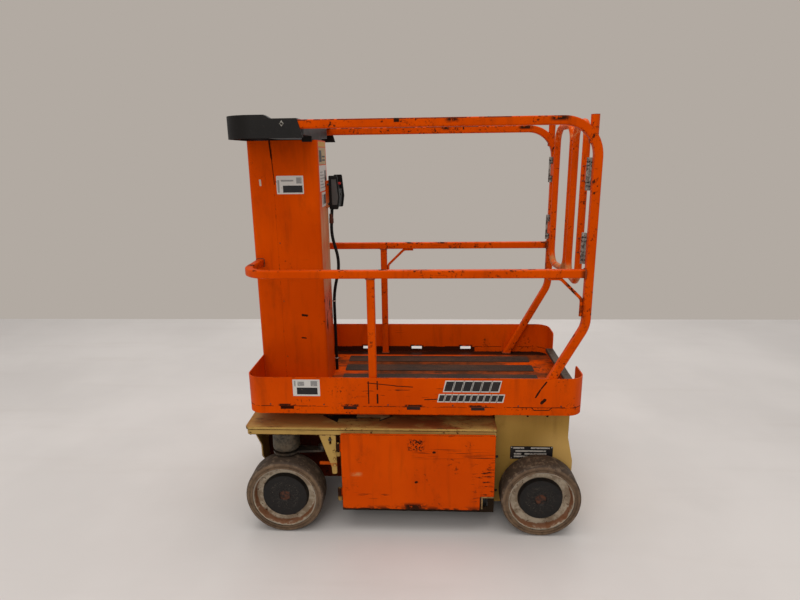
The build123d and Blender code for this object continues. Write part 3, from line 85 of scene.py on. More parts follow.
class Finish:
    """A surface finish on object coordinates, in metres, put together from small patterns.
    Its tones are screen colours from 0 to 255."""

    def __init__(self, name):
        self.material = bpy.data.materials.new(name)
        self.material.use_nodes = True
        self.tree = self.material.node_tree
        self.shader = self.tree.nodes["Principled BSDF"]
        self.place = self.add("ShaderNodeTexCoord").outputs["Object"]

    def feed(self, node, values):
        """Fills a node's inputs by name or number: sockets are linked, None is left alone."""
        for key, value in values.items():
            if isinstance(value, bpy.types.NodeSocket):
                self.tree.links.new(value, node.inputs[key])
            elif value is not None:
                tone = node.inputs[key].type == "RGBA"
                node.inputs[key].default_value = linear(*value) if tone else value

    def add(self, kind, values=(), **settings):
        """A node with its settings and the values of its inputs."""
        node = self.tree.nodes.new(kind)
        for key, value in settings.items():
            setattr(node, key, value)
        self.feed(node, values if isinstance(values, dict) else dict(enumerate(values)))
        return node

    def calc(self, operation, *values):
        """One sum on one, two or three numbers."""
        return self.add("ShaderNodeMath", values, operation=operation).outputs[0]

    def noise(self, scale, detail=3.0, stretch=(1, 1, 1), rough=0.55):
        """Cloudy noise whose grain is about 1/scale metres, drawn out where stretch is small."""
        place = self.place
        if stretch != (1, 1, 1):
            place = self.add("ShaderNodeMapping", {"Vector": place, "Scale": stretch}).outputs[0]
        values = {"Vector": place, "Scale": scale, "Detail": detail, "Roughness": rough}
        return self.add("ShaderNodeTexNoise", values).outputs[0]

    def ramp(self, value, low, high):
        """0 at low and 1 at high, with a soft step between; low may be the larger."""
        values = {"Value": value, "From Min": low, "From Max": high, "To Min": 0.0, "To Max": 1.0}
        return self.add("ShaderNodeMapRange", values, interpolation_type="SMOOTHSTEP").outputs[0]

    def patches(self, low, high, *grain, **more):
        """1 where noise of the given grain is past high, and 0 where it is short of low."""
        return self.ramp(self.noise(*grain, **more), low, high)

    def sway(self, share, base, *grain, **more):
        """A number or a mask with a share of noise added to it."""
        return self.calc("MULTIPLY_ADD", self.noise(*grain, **more), share, base)

    def mix(self, amount, first, second):
        """The first colour where amount is 0 and the second where it is 1."""
        node = self.add("ShaderNodeMix", {0: amount, 6: first, 7: second}, data_type="RGBA")
        return node.outputs[2]

    def axis(self, number):
        """One coordinate of the place, in metres: 0 along, 1 across, 2 up."""
        if not hasattr(self, "split"):
            self.split = self.add("ShaderNodeSeparateXYZ", (self.place,))
        return self.split.outputs[number]

    def past(self, number, low, high):
        """0 up to low and 1 from high on, along one axis; low may be the larger."""
        return self.ramp(self.axis(number), low, high)

    def outboard(self, low, high):
        """The same, measured outward from the middle on both sides."""
        return self.ramp(self.calc("ABSOLUTE", self.axis(1)), low, high)

    def within(self, number, low, high, soft=0.01):
        """1 between two places along one axis, with soft ends."""
        rise = self.past(number, low - soft, low + soft)
        return self.both(rise, self.past(number, high + soft, high - soft))

    def area(self, along, upward, *masks):
        """The product of masks within a rectangle: (low, high, soft) along and (low, high, soft) up."""
        return self.both(self.within(0, *along), self.within(2, *upward), *masks)

    def stroke(self, start, end, width, ragged=0.4):
        """1 along a narrow mark between two (x, z) points on a side face, with ragged sides.

        The distance to the line is |(p - a) - t (b - a)|, with t = (p - a).(b - a) / |b - a|^2 kept
        between 0 and 1, and the mark's half width is worn back by noise.
        """
        du, dv = end[0] - start[0], end[1] - start[1]
        pu = self.calc("SUBTRACT", self.axis(0), start[0])
        pv = self.calc("SUBTRACT", self.axis(2), start[1])
        square = du * du + dv * dv
        along = self.calc("MULTIPLY_ADD", pu, du / square, self.calc("MULTIPLY", pv, dv / square))
        along = self.calc("MINIMUM", self.calc("MAXIMUM", along, 0.0), 1.0)
        ru = self.calc("MULTIPLY_ADD", along, -du, pu)
        rv = self.calc("MULTIPLY_ADD", along, -dv, pv)
        square_off = self.calc("ADD", self.calc("MULTIPLY", ru, ru), self.calc("MULTIPLY", rv, rv))
        away = self.calc("DIVIDE", self.calc("SQRT", square_off), width / 2)
        grain = self.sway(2 * ragged, -ragged, 160, 3, rough=0.7)
        return self.ramp(self.calc("ADD", away, grain), 1.15, 0.85)

    def edges(self, radius):
        """1 on outside and inside edges: how far a rounded normal leans from the flat one."""
        soft = self.add("ShaderNodeBevel", {"Radius": radius}, samples=4).outputs[0]
        flat = self.add("ShaderNodeNewGeometry").outputs["Normal"]
        lean = self.add("ShaderNodeVectorMath", (soft, flat), operation="DOT_PRODUCT").outputs["Value"]
        return self.ramp(lean, 0.98, 0.8)

    def facing(self, number, low=0.5, high=0.8):
        """1 where the surface faces along one axis."""
        normal = self.add("ShaderNodeNewGeometry").outputs["Normal"]
        part = self.add("ShaderNodeSeparateXYZ", (normal,)).outputs[number]
        return self.ramp(part, low, high)

    def either(self, *masks):
        """The strongest of several masks."""
        total = masks[0]
        for mask in masks[1:]:
            total = self.calc("MAXIMUM", total, mask)
        return total

    def both(self, *masks):
        """The product of several masks or shares."""
        total = masks[0]
        for mask in masks[1:]:
            total = self.calc("MULTIPLY", total, mask)
        return total

    def done(self, colour, roughness, height=None, strength=0.3, depth=0.001, round_edges=0.0, shine=0.3,
             **fixed):
        """Joins colour, roughness and relief to the shader; fixed holds its uniform sockets."""
        normal = None
        if round_edges:
            normal = self.add("ShaderNodeBevel", {"Radius": round_edges}, samples=4).outputs[0]
        if height is not None:
            values = {"Strength": strength, "Distance": depth, "Height": height, "Normal": normal}
            normal = self.add("ShaderNodeBump", values).outputs[0]
        self.feed(self.shader, {"Base Color": colour, "Roughness": roughness, "Normal": normal,
                                "Specular IOR Level": shine})
        self.feed(self.shader, {key.replace("_", " "): value for key, value in fixed.items()})
        return self.material


def add_mesh(name, shapes, *materials):
    """A mesh object at the origin from (points, faces, material number) shapes."""
    points, faces, slots = [], [], []
    for corners, sides, number in shapes:
        first = len(points)
        points.extend(np.asarray(corners, float).tolist())
        faces.extend([[first + int(i) for i in side] for side in sides])
        slots.extend([number] * len(sides))
    mesh = bpy.data.meshes.new(name)
    mesh.from_pydata(points, [], faces)
    for material in materials:
        mesh.materials.append(material)
    mesh.polygons.foreach_set("material_index", slots)
    mesh.update()
    obj = bpy.data.objects.new(name, mesh)
    bpy.context.scene.collection.objects.link(obj)
    return obj


concrete = Finish("sealed_concrete")
cloud = concrete.patches(0.35, 0.7, 0.9, 4)
pale = concrete.mix(cloud, (210, 205, 202), (219, 214, 211))
streak = concrete.patches(0.5, 0.8, 5, 4, (0.12, 1, 1), 0.6)
pale = concrete.mix(concrete.both(streak, 0.25), pale, (196, 188, 182))
floor_finish = concrete.done(pale, 0.5, concrete.noise(40, 4), 0.05, shine=0.5)
floor_edges = [(-9, -5, 0), (9, -5, 0), (9, 2.75, 0), (-9, 2.75, 0)]
floor = add_mesh("floor", [(floor_edges, [(0, 1, 2, 3)], 0)], floor_finish)
floor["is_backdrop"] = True

world = bpy.data.worlds.new("studio")
bpy.context.scene.world = world
world.use_nodes = True
sky = world.node_tree
background = sky.nodes["Background"]
background.inputs["Color"].default_value = linear(228, 224, 220)
background.inputs["Strength"].default_value = 0.5
seen = sky.nodes.new("ShaderNodeBackground")
seen.inputs["Color"].default_value = linear(178, 170, 162)
path = sky.nodes.new("ShaderNodeLightPath")
choose = sky.nodes.new("ShaderNodeMixShader")
sky.links.new(path.outputs["Is Camera Ray"], choose.inputs[0])
sky.links.new(background.outputs[0], choose.inputs[1])
sky.links.new(seen.outputs[0], choose.inputs[2])
sky.links.new(choose.outputs[0], sky.nodes["World Output"].inputs[0])
for name, spot, target, size, power in (
    ("lamp_overhead", (-0.3, -0.5, 7.8), (0, 0, 0), 7.4, 362),
    ("lamp_viewer", (-1.2, -4.4, 3.2), (0, 0, 0.7), 3.0, 55),
    ("lamp_far", (0.5, 3.6, 3.2), (0, 0, 0.7), 3.5, 28),
):
    lamp = bpy.data.objects.new(name, bpy.data.lights.new(name, "AREA"))
    lamp.data.size = size
    lamp.data.energy = power
    lamp.data.color = (1.0, 0.985, 0.962)
    lamp.location = spot
    lamp.rotation_euler = (Vector(target) - Vector(spot)).to_track_quat("-Z", "Y").to_euler()
    bpy.context.scene.collection.objects.link(lamp)
bpy.context.scene.view_settings.view_transform = "Standard"


# ---- Shapes for small fittings ----
# Bolt heads, weld beads, clips and printed film are made here in metres and joined to the
# body that carries them.
def plate(outline, origin, along, upward, thick, number=0):
    """A flat outline, in metres along two directions, raised by thick along their cross product.
    Every shape ends with its material's number in the mesh."""
    along, upward = np.array(along, float), np.array(upward, float)
    out = np.cross(along, upward)
    base = np.array([np.array(origin) + a * along + b * upward for a, b in outline])
    n = len(base)
    sides = [(i, (i + 1) % n, n + (i + 1) % n, n + i) for i in range(n)]
    return np.concatenate([base, base + thick * out]), [range(n)[::-1], range(n, 2 * n), *sides], number


def rectangle(low, high, corner=0.0):
    """A rectangle's outline between two corners, its own corners cut by arcs of four steps."""
    (x0, y0), (x1, y1) = low, high
    if not corner:
        return [(x0, y0), (x1, y0), (x1, y1), (x0, y1)]
    centres = ((x1 - corner, y1 - corner), (x0 + corner, y1 - corner), (x0 + corner, y0 + corner),
               (x1 - corner, y0 + corner))
    points = []
    for quarter, (cx, cy) in enumerate(centres):
        for angle in np.linspace(quarter, quarter + 1, 5) * np.pi / 2:
            points.append((cx + corner * np.cos(angle), cy + corner * np.sin(angle)))
    return points


def turned(profile, origin, axis, count, number=0):
    """Rings of (radius, height) turned about an axis in count sides, closed at both ends."""
    axis = Vector(axis).normalized()
    side = axis.orthogonal().normalized()
    other = axis.cross(side)
    angles = np.arange(count) * 2 * np.pi / count
    circle = np.outer(np.cos(angles), side) + np.outer(np.sin(angles), other)
    points = np.concatenate([np.array(origin) + r * circle + h * np.array(axis) for r, h in profile])
    faces = [range(count)[::-1], range(len(points) - count, len(points))]
    for ring in range(len(profile) - 1):
        low = ring * count
        for i in range(count):
            j = (i + 1) % count
            faces.append((low + i, low + j, low + count + j, low + count + i))
    return points, faces, number


def bolt(spot, axis, size):
    """Hexagon head of the given half width on its washer; both stand along the axis."""
    washer = turned([(1.25 * size, -0.001), (1.25 * size, 0.0015), (1.15 * size, 0.002)], spot, axis, 20)
    head = [(1.05 * size, 0.0015), (1.05 * size, 0.7 * size), (0.85 * size, 0.85 * size)]
    return [washer, turned(head, spot, axis, 6)]


def rivet(spot, axis, size, number=0):
    """Round-headed rivet: a low dome of four rings."""
    lift = np.linspace(0, 1, 5)[:-1] * np.pi / 2
    dome = [(size * np.cos(a), 0.45 * size * np.sin(a)) for a in lift]
    return turned([(size, -0.001), *dome], spot, axis, 14, number)


WELD_PITCH = 0.0025
WELD_STEP = 0.0012


def bead(route, radius, closed=False):
    """Weld bead along a route: its radius swells by a fifth at every pitch, as r (1 + 0.2 |sin|)."""
    route = np.array([*route, route[0]] if closed else route, float)
    run = np.concatenate([[0], np.cumsum(np.linalg.norm(np.diff(route, axis=0), axis=1))])
    count = max(int(run[-1] / WELD_STEP), 4)
    stops = np.linspace(0, run[-1], count, endpoint=not closed)
    line = np.stack([np.interp(stops, run, route[:, i]) for i in range(3)], axis=1)
    ahead = np.roll(line, -1, axis=0) - np.roll(line, 1, axis=0)
    if not closed:
        ahead[0], ahead[-1] = line[1] - line[0], line[-1] - line[-2]
    ahead /= np.linalg.norm(ahead, axis=1)[:, None]
    level = np.cross(ahead, (0.31, 0.52, 0.79))
    level /= np.linalg.norm(level, axis=1)[:, None]
    third = np.cross(ahead, level)
    swell = radius * (1 + 0.2 * np.abs(np.sin(stops * np.pi / WELD_PITCH)))[:, None]
    turns = np.arange(6) * np.pi / 3
    rings = [line + swell * (np.cos(a) * level + np.sin(a) * third) for a in turns]
    points = np.stack(rings, axis=1).reshape(-1, 3)
    faces = []
    for i in range(count if closed else count - 1):
        here, there = 6 * i, 6 * ((i + 1) % count)
        faces.extend((here + k, there + k, there + (k + 1) % 6, here + (k + 1) % 6) for k in range(6))
    if not closed:
        faces.extend((range(6), range(len(points) - 6, len(points))[::-1]))
    return points, faces, 0


def ring_path(centre, first, second, half_first, half_second, corner=0.006):
    """Points round a rounded rectangle in the plane of two directions, for a bead round a tube."""
    flat = rectangle((-half_first, -half_second), (half_first, half_second), corner)
    return [np.array(centre) + a * np.array(first, float) + b * np.array(second, float) for a, b in flat]


def fit(name, shapes, body, slot, *materials):
    """A set of small fittings as one object on its body."""
    obj = add_mesh(name, shapes, *materials)
    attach(obj, body)


X, Y, Z = np.eye(3)


def reading(side):
    """The way that lettering runs on one side of the machine, seen from outside."""
    return X if side < 0 else -X


# ---- Chassis: folded steel plate, apron, gussets and bay ----
# Cream enamel on folded and welded steel plate. It has turned mustard with age, is rubbed to
# brown primer where feet and straps touch it, and rusts at every edge and weld.
def dress(material, *names):
    """Gives finished parts of the machine their finish."""
    for name in names:
        for holder in nodes[name].material_slots:
            holder.material = material


def worn_paint(name, coat, shade, bare, chips=0.5, rub=0.3, marks=None, cover=None, edge=0.004, shine=0.2):
    """Enamel: coat clouded by shade, with soil, chips, thin scratches and rubbed edges down to bare.
    marks(finish) gives more bare places, and cover(finish, colour) lays more colour over it all."""
    f = Finish(name)
    colour = f.mix(f.patches(0.3, 0.7, 3.5, 3), coat, shade)
    run = f.patches(0.5, 0.8, 30, 3, (1, 1, 0.12))
    colour = f.mix(f.both(run, 0.22), colour, bare)
    soil = f.patches(0.5, 0.85, 16, 6, (1, 1, 0.4), 0.65)
    colour = f.mix(f.both(soil, 0.35), colour, bare)
    where = f.patches(0.62 - 0.2 * chips, 0.75 - 0.2 * chips, 6, 3)
    speck = f.noise(75, 4, rough=0.7)
    chip = f.both(where, f.ramp(speck, 0.60, 0.64))
    halo = f.both(where, f.ramp(speck, 0.53, 0.62))
    colour = f.mix(f.both(halo, 0.4), colour, bare)
    line = f.both(f.patches(0.68 - 0.2 * chips, 0.74 - 0.2 * chips, 4.4, 2),
                  f.patches(0.68, 0.70, 38, 2, (0.15, 0.15, 6)))
    rim = f.both(f.edges(edge), f.patches(0.62 - 0.3 * rub, 0.68 - 0.3 * rub, 26, 5, rough=0.7))
    bared = f.either(chip, line, rim)
    if marks:
        bared = f.either(bared, marks(f))
    under = f.mix(f.patches(0.4, 0.6, 50, 3), bare, (38, 24, 17))
    colour = f.mix(bared, colour, under)
    if cover:
        colour = cover(f, colour)
    rough = f.calc("ADD", f.calc("MULTIPLY", bared, 0.3), f.sway(0.25, 0.38, 9, 4))
    relief = f.calc("MULTIPLY_ADD", bared, -1.0, f.calc("MULTIPLY", f.noise(260, 2), 0.12))
    return f.done(colour, rough, relief, 0.5, 0.0006, round_edges=0.0012, shine=shine, Specular_Tint=coat)


def plate_soil_and_shade(f, colour):
    """Brown scuffing over the walked-on top of the plate. Its tone runs from pale at the front to dark and
    red at the rear: partly the dirt's colour, partly painted light and shade under the platform.
    """
    top = f.facing(2)
    patch = f.patches(0.34, 0.56, 7, 6, (0.5, 1, 1), 0.7)
    # Painted light and shade: the brown is paler towards the front and darker towards the rear, under the
    # platform.
    brown = f.mix(f.past(0, -0.45, 0.1), (164, 116, 62), (138, 74, 38))
    colour = f.mix(f.both(top, patch), colour, brown)
    dark = f.patches(0.56, 0.70, 13, 6, (0.4, 1, 1), 0.75)
    return f.mix(f.both(top, dark), colour, (62, 38, 24))


def seam_rust(f):
    """Rust in the joint under the slab, along the lip's lower edge and round the front edge."""
    joint = f.both(f.within(2, 0.4555, 0.4600, 0.0010), f.patches(0.26, 0.40, 16, 4, rough=0.7))
    lower = f.both(f.within(2, 0.4330, 0.4372, 0.0008), f.patches(0.36, 0.46, 22, 4, rough=0.7))
    front = f.both(f.past(0, -0.655, -0.674), f.patches(0.44, 0.54, 30, 5, rough=0.75))
    return f.either(joint, lower, front)


CREAM_SHADE = (172, 137, 76)
RUST_BROWN = (78, 46, 27)
BARE_DARK = (50, 28, 18)
SOOT = (24, 20, 18)
CREAM_COAT = ((194, 160, 92), CREAM_SHADE, RUST_BROWN)
ORANGE_COAT = ((220, 79, 1), (206, 70, 1), BARE_DARK)
dress(worn_paint("cream_plate", *CREAM_COAT, 0.9, 1.1, marks=seam_rust, cover=plate_soil_and_shade, edge=0.007),
      "chassis_plate")
dress(worn_paint("cream_panels", *CREAM_COAT, 0.8, 0.9), "front_apron")
gusset_low, gusset_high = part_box("bay_gussets")


def stop_bars(f, colour):
    """The two bars that stop the steering, welded inside the gussets, are painted orange."""
    inboard = f.outboard(gusset_high.y - 0.0035, gusset_high.y - 0.0045)
    bar = f.within(2, gusset_high.z - 0.141, gusset_high.z - 0.125, 0.001)
    return f.mix(f.both(inboard, bar), colour, (176, 66, 8))


def bay_shade_and_latch_dark(f, colour):
    """Near-black along the lower edge of the bay, painted shade where it stands just over the floor, and
    near-black behind the latch at the door's lower rear notch.
    """
    # Painted shade: the lowest strip of the bay is darkened for the shade under the machine.
    low = f.ramp(f.sway(0.01, f.axis(2), 20, 4), 0.128, 0.120)
    latch = f.both(f.past(0, 0.262, 0.268), f.past(2, 0.185, 0.178))
    return f.mix(f.either(low, latch), colour, (34, 25, 19))


dress(worn_paint("cream_gussets", *CREAM_COAT, 0.8, 0.9, cover=stop_bars), "bay_gussets")
# The bay takes a darker copy of the chassis cream: partly grime, partly painted shade for the bay that sits
# under the plate.
dress(worn_paint("cream_bay", CREAM_SHADE, (120, 92, 50), RUST_BROWN, 0.9, 0.9, cover=bay_shade_and_latch_dark),
      "chassis_tub", "rear_frame")
# The spine is orange enamel painted much darker than the other orange parts: painted shade for where it sits
# under the plate.
dress(worn_paint("shaded_orange_frame", (96, 32, 8), (58, 24, 12), SOOT, 0.9, 0.6), "chassis_spine")


def weld_metal(name, spread, rough, light, dark):
    """Rough metal flecked between two tones, the more softly the wider the spread."""
    f = Finish(name)
    tint = f.mix(f.patches(0.5 - spread, 0.5 + spread, 120, 3), light, dark)
    return f.done(tint, rough, f.noise(400, 2), 0.3, 0.0004)


orange_weld = weld_metal("weld_metal", 0.15, 0.55, (150, 60, 12), (96, 44, 20))
cream_weld = weld_metal("cream_weld_metal", 0.1, 0.6, CREAM_SHADE, RUST_BROWN)


def bare_metal(name, light, dark, metal=0.6, rough=0.5, grain=40, dusty=(96, 78, 58), cover=None):
    """Metal clouded between two tones, with brown dust settled in patches; cover as for paint."""
    f = Finish(name)
    colour = f.mix(f.patches(0.35, 0.65, grain, 5, rough=0.7), dark, light)
    dust = f.patches(0.5, 0.75, 12, 4)
    colour = f.mix(f.both(dust, 0.5), colour, dusty)
    if cover:
        colour = cover(f, colour)
    gloss = f.sway(0.3, rough - 0.15, 30, 4)
    return f.done(colour, gloss, f.noise(220, 4, rough=0.7), 0.35, 0.0005, round_edges=0.0015, shine=0.5,
                  Metallic=metal)


zinc_bolts = bare_metal("bolt_zinc", (150, 146, 138), (86, 80, 72), 0.8, 0.42, 90)
dark_bolts = bare_metal("bolt_dark", (70, 62, 54), (36, 30, 26), 0.6, 0.5, 90)

# Beads that join each gusset to the fold of the plate, and stitches 50 mm long every 190 mm in
# the corner between the fold and the slab that lies on it.
plate_low, plate_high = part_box("chassis_plate")
SLAB_UNDER = 0.4588
shapes = []
for side in (-1, 1):
    y, z = side * (gusset_high.y - 0.006), gusset_high.z
    shapes.append(bead([(gusset_low.x + 0.006, y, z), (gusset_high.x - 0.002, y, z)], 0.0026))
    y = side * (plate_high.y - 0.0042)
    for x in np.arange(plate_low.x + 0.1, plate_high.x - 0.05, 0.19):
        shapes.append(bead([(x, y, SLAB_UNDER), (x + 0.05, y, SLAB_UNDER)], 0.0024))
fit("plate_welds", shapes, "chassis", "cream_paint", cream_weld)

# Bolt heads in the gussets' slots and along the front edge of the nose plate.
apron_low, apron_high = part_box("front_apron")
shapes = []
for side in (-1, 1):
    shapes += bolt((gusset_high.x - 0.024, side * gusset_high.y, gusset_high.z - 0.018), side * Y, 0.0055)
    for y in (0.06, 0.16, 0.26):
        shapes += bolt((apron_low.x, side * y, apron_high.z - 0.016), -X, 0.006)
fit("chassis_bolts", shapes, "chassis", "machined_steel", dark_bolts)


# ---- Arrows on the chassis plate ----
# Two painted arrows on each side of the plate's top: a solid black one that points the way the
# steered wheels lead, and behind it an outlined one that points back. Both are half worn away.
def arrow(tip, tail, half, shaft, centre):
    """Seven corners of an arrow along X whose head is as long as it is half wide."""
    neck = tip + (1 if tail > tip else -1) * half * 1.15
    points = [(tip, centre), (neck, centre - half), (neck, centre - shaft), (tail, centre - shaft),
              (tail, centre + shaft), (neck, centre + shaft), (neck, centre + half)]
    return points if tail > tip else points[::-1]


def film(name, colour, worn, amount=0.4, grain=26):
    """Printed or painted film, rubbed through to what lies under it in patches and specks."""
    f = Finish(name)
    patch = f.patches(0.66 - 0.3 * amount, 0.72 - 0.3 * amount, grain, 6, rough=0.75)
    tone = f.mix(f.patches(0.4, 0.8, 9, 4), colour, f.mix(0.25, colour, worn))
    rough = f.sway(0.2, 0.4, 60, 3)
    return f.done(f.mix(patch, tone, worn), rough, f.noise(300, 2), 0.1, 0.0003)


black_film = film("arrow_black", SOOT, (96, 62, 34), 0.34)
pale_film = film("arrow_pale", (196, 164, 118), (150, 96, 54), 0.45)
shapes = []
for side in (-1, 1):
    spot = (0, 0, plate_high.z)
    front = arrow(-0.375, -0.225, 0.062, 0.028, side * 0.247)
    shapes.append(plate(front, spot, X, Y, 0.0006))
    edge = arrow(-0.076, -0.237, 0.049, 0.022, side * 0.247)
    inner = arrow(-0.088, -0.231, 0.036, 0.015, side * 0.247)
    shapes.append(plate(edge, spot, X, Y, 0.0005))
    shapes.append(plate(inner, spot, X, Y, 0.0008, 1))
fit("plate_arrows", shapes, "chassis", "black_plastic", black_film, pale_film)


# ---- Castings, bare steel and batteries ----
# Grey cast kingpin housings, the rear axle with its motors, and the mast sections, greased
# and dusty. The batteries and the oil tank stand behind the doors.
dress(bare_metal("cast_grey", (92, 82, 66), (44, 39, 32), 0.3, 0.6), "king_housings")
dress(bare_metal("steering_steel", (78, 66, 54), (38, 33, 29), 0.5), "knuckle_left", "knuckle_right")
dress(bare_metal("axle_steel", (70, 64, 58), (34, 31, 29), 0.5), "rear_axle")
dress(bare_metal("latch_steel", (170, 138, 84), (110, 86, 50), 0.1), "latch_brackets")
dress(bare_metal("rod_steel", (96, 88, 80), (54, 50, 46), 0.8, 0.4), "tie_rod")
dress(bare_metal("mast_grey", (84, 84, 86), (44, 44, 46), 0.6, 0.45, 14),
      "mast_base", "mast_stage_1", "mast_stage_2", "carriage", "lift_barrel")
dress(bare_metal("chrome_rod", (200, 200, 202), (180, 180, 184), 1.0, 0.22, 8), "lift_rod")
dress(bare_metal("nylon", (206, 200, 184), (180, 172, 152), 0.0, 0.5), "mast_base_pads",
      "stage_1_pads", "stage_2_pads", "carriage_pads")


def battery_finish(name, low, high):
    """Black cases, lids a little paler, with grey lead posts above them."""
    f = Finish(name)
    case = f.mix(f.patches(0.4, 0.7, 20, 5, rough=0.7), (30, 30, 32), (60, 56, 52))
    lid = f.within(2, high.z - 0.058, high.z - 0.026, 0.002)
    case = f.mix(f.both(lid, 0.6), case, (70, 68, 66))
    colour = f.mix(f.past(2, high.z - 0.0135, high.z - 0.0125), case, (140, 138, 134))
    return f.done(colour, f.sway(0.3, 0.4, 30, 4), f.noise(200, 3), 0.2, 0.0005, round_edges=0.002, shine=0.5)


dress(battery_finish("battery_case", *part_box("battery_pack")), "battery_pack")
dress(bare_metal("tank_steel", (66, 66, 68), (40, 40, 42), 0.3, 0.45, 20), "hydraulic_unit")


# ---- Wheels ----
# Solid non-marking tyres, grey-brown with floor dirt, pressed on dished rims. The rims are
# scuffed pale paint with rust rings, and carry a black hub disc.
def from_axle(f, x, z):
    """Distance from an axle that lies across the machine at x, z."""
    arm = f.add("ShaderNodeVectorMath", (f.place, (x, 0, z)), operation="SUBTRACT").outputs[0]
    flat = f.add("ShaderNodeVectorMath", (arm, (1, 0, 1)), operation="MULTIPLY").outputs[0]
    return f.add("ShaderNodeVectorMath", (flat,), operation="LENGTH").outputs["Value"]


def rubber(name, light, dark, x, z):
    """Scuffed rubber: dusty tones, finely pitted, with moulded rings, dirt packed at the bead, and a tread
    painted darker as shade.
    """
    f = Finish(name)
    radius = from_axle(f, x, z)
    colour = f.mix(f.patches(0.35, 0.65, 11, 6, rough=0.7), dark, light)
    colour = f.mix(f.both(f.patches(0.5, 0.7, 60, 3), 0.5), colour, (60, 46, 36))
    # Painted shade: the tread is darkened for the shade under the platform.
    colour = f.mix(f.both(f.ramp(radius, 0.1535, 0.1585), 0.75), colour, (50, 40, 33))
    bead_dirt = f.ramp(f.sway(0.008, radius, 40, 4, rough=0.7), 0.1385, 0.1355)
    colour = f.mix(bead_dirt, colour, (46, 36, 28))
    scuff = f.both(f.ramp(radius, 0.147, 0.155), f.patches(0.5, 0.62, 36, 5, rough=0.75))
    colour = f.mix(f.both(scuff, 0.5), colour, (132, 112, 92))
    rings = f.calc("SINE", f.calc("MULTIPLY", radius, 2 * np.pi / 0.0042))
    relief = f.calc("MULTIPLY_ADD", rings, 0.12, f.calc("ADD", f.noise(150, 5, rough=0.7), f.noise(25, 3)))
    return f.done(colour, f.sway(0.2, 0.62, 20, 3), relief, 0.5, 0.0006)


def rim_finish(name, x, z, disc):
    """Rings round the axle at x, z: black hub disc, pale scuffed dish, rust towards the bead."""
    f = Finish(name)
    radius = from_axle(f, x, z)
    ragged = f.sway(0.012, f.calc("SUBTRACT", radius, 0.006), 30, 5, rough=0.7)
    dish = f.mix(f.patches(0.4, 0.6, 22, 5, rough=0.7), (190, 176, 154), (146, 128, 106))
    dish = f.mix(f.patches(0.60, 0.66, 48, 4, rough=0.75), dish, (74, 44, 28))
    rusty = f.both(f.ramp(ragged, 0.1215, 0.1240), f.ramp(ragged, 0.1285, 0.1265))
    dish = f.mix(f.both(rusty, 0.85), dish, (124, 70, 36))
    bared = f.both(f.ramp(radius, 0.1275, 0.1295), f.patches(0.42, 0.56, 30, 4, rough=0.7))
    dish = f.mix(bared, dish, (150, 140, 126))
    black = f.mix(f.patches(0.55, 0.75, 70, 4, rough=0.7), (20, 17, 15), (42, 35, 29))
    grain = f.noise(90, 1)
    score = f.both(f.ramp(grain, 0.498, 0.504), f.ramp(grain, 0.512, 0.506), f.ramp(radius, 0.075, 0.055))
    black = f.mix(f.both(score, 0.8), black, (110, 100, 88))
    rust = f.both(f.ramp(radius, 0.026, 0.018), f.patches(0.4, 0.6, 50, 4))
    black = f.mix(rust, black, (88, 48, 28))
    colour = f.mix(f.ramp(radius, disc + 0.001, disc - 0.001), dish, black)
    return f.done(colour, f.sway(0.3, 0.42, 40, 4), f.noise(90, 5, rough=0.7), 0.4, 0.0006, round_edges=0.002)


for place, disc in (("front", 0.0975), ("rear", 0.092)):
    low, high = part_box("tyre_" + place + "_left")
    middle = (low + high) / 2
    tread = rubber("tyre_rubber_" + place, (118, 95, 72), (92, 72, 55), middle.x, middle.z)
    dress(tread, "tyre_" + place + "_left", "tyre_" + place + "_right")
    dress(rim_finish("rim_" + place, middle.x, middle.z, disc),
          "rim_" + place + "_left", "rim_" + place + "_right")


# ---- Doors ----
# Two lift-off steel doors in orange enamel, scraped along the lower edge and peppered with
# chips near the latch.
def door_marks(f):
    """Scrapes behind the middle, a bare hinge and lower edge, specks near the latch and two dots."""
    scrape = f.area((0.02, 0.33, 0.03), (0.345, 0.385, 0.01), f.patches(0.57, 0.60, 44, 3, (0.14, 1, 7)))
    low = f.both(f.past(2, 0.134, 0.106), f.patches(0.48, 0.54, 30, 6, (0.5, 1, 1), 0.75))
    speck = f.area((0.255, 0.34, 0.03), (0.14, 0.34, 0.04), f.patches(0.57, 0.60, 60, 4, (0.3, 1, 2), 0.75))
    grid = f.area((-0.012, 0.050, 0.008), (0.378, 0.428, 0.006), f.patches(0.51, 0.54, 150, 2, rough=0.7))
    dots = [f.stroke((x, z), (x + 0.004, z + 0.001), 0.010, 0.6) for x, z in ((0.090, 0.372), (0.018, 0.236))]
    blot = f.both(f.within(0, -0.035, 0.060, 0.02), f.past(2, 0.146, 0.126),
                  f.patches(0.40, 0.50, 34, 5, rough=0.7))
    hinge = f.past(0, door_low.x + 0.017, door_low.x + 0.0155)
    foot = f.area((-0.21, -0.10, 0.02), (0.158, 0.178, 0.006), f.patches(0.52, 0.56, 50, 3, (0.25, 1, 3)))
    return f.either(scrape, low, speck, grid, hinge, blot, foot, *dots)


def door_smear(f, colour):
    """A tan scrape near the front edge, where a wheel has rubbed the paint."""
    smear = f.area((-0.243, -0.205, 0.012), (0.262, 0.278, 0.006),
                   f.patches(0.42, 0.52, 50, 4, (0.4, 1, 2), 0.7))
    return f.mix(f.both(smear, 0.6), colour, (206, 146, 90))


door_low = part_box("door_left")[0]
dress(worn_paint("orange_door", *ORANGE_COAT, 0.25, 0.7, marks=door_marks, cover=door_smear),
      "door_left", "door_right")


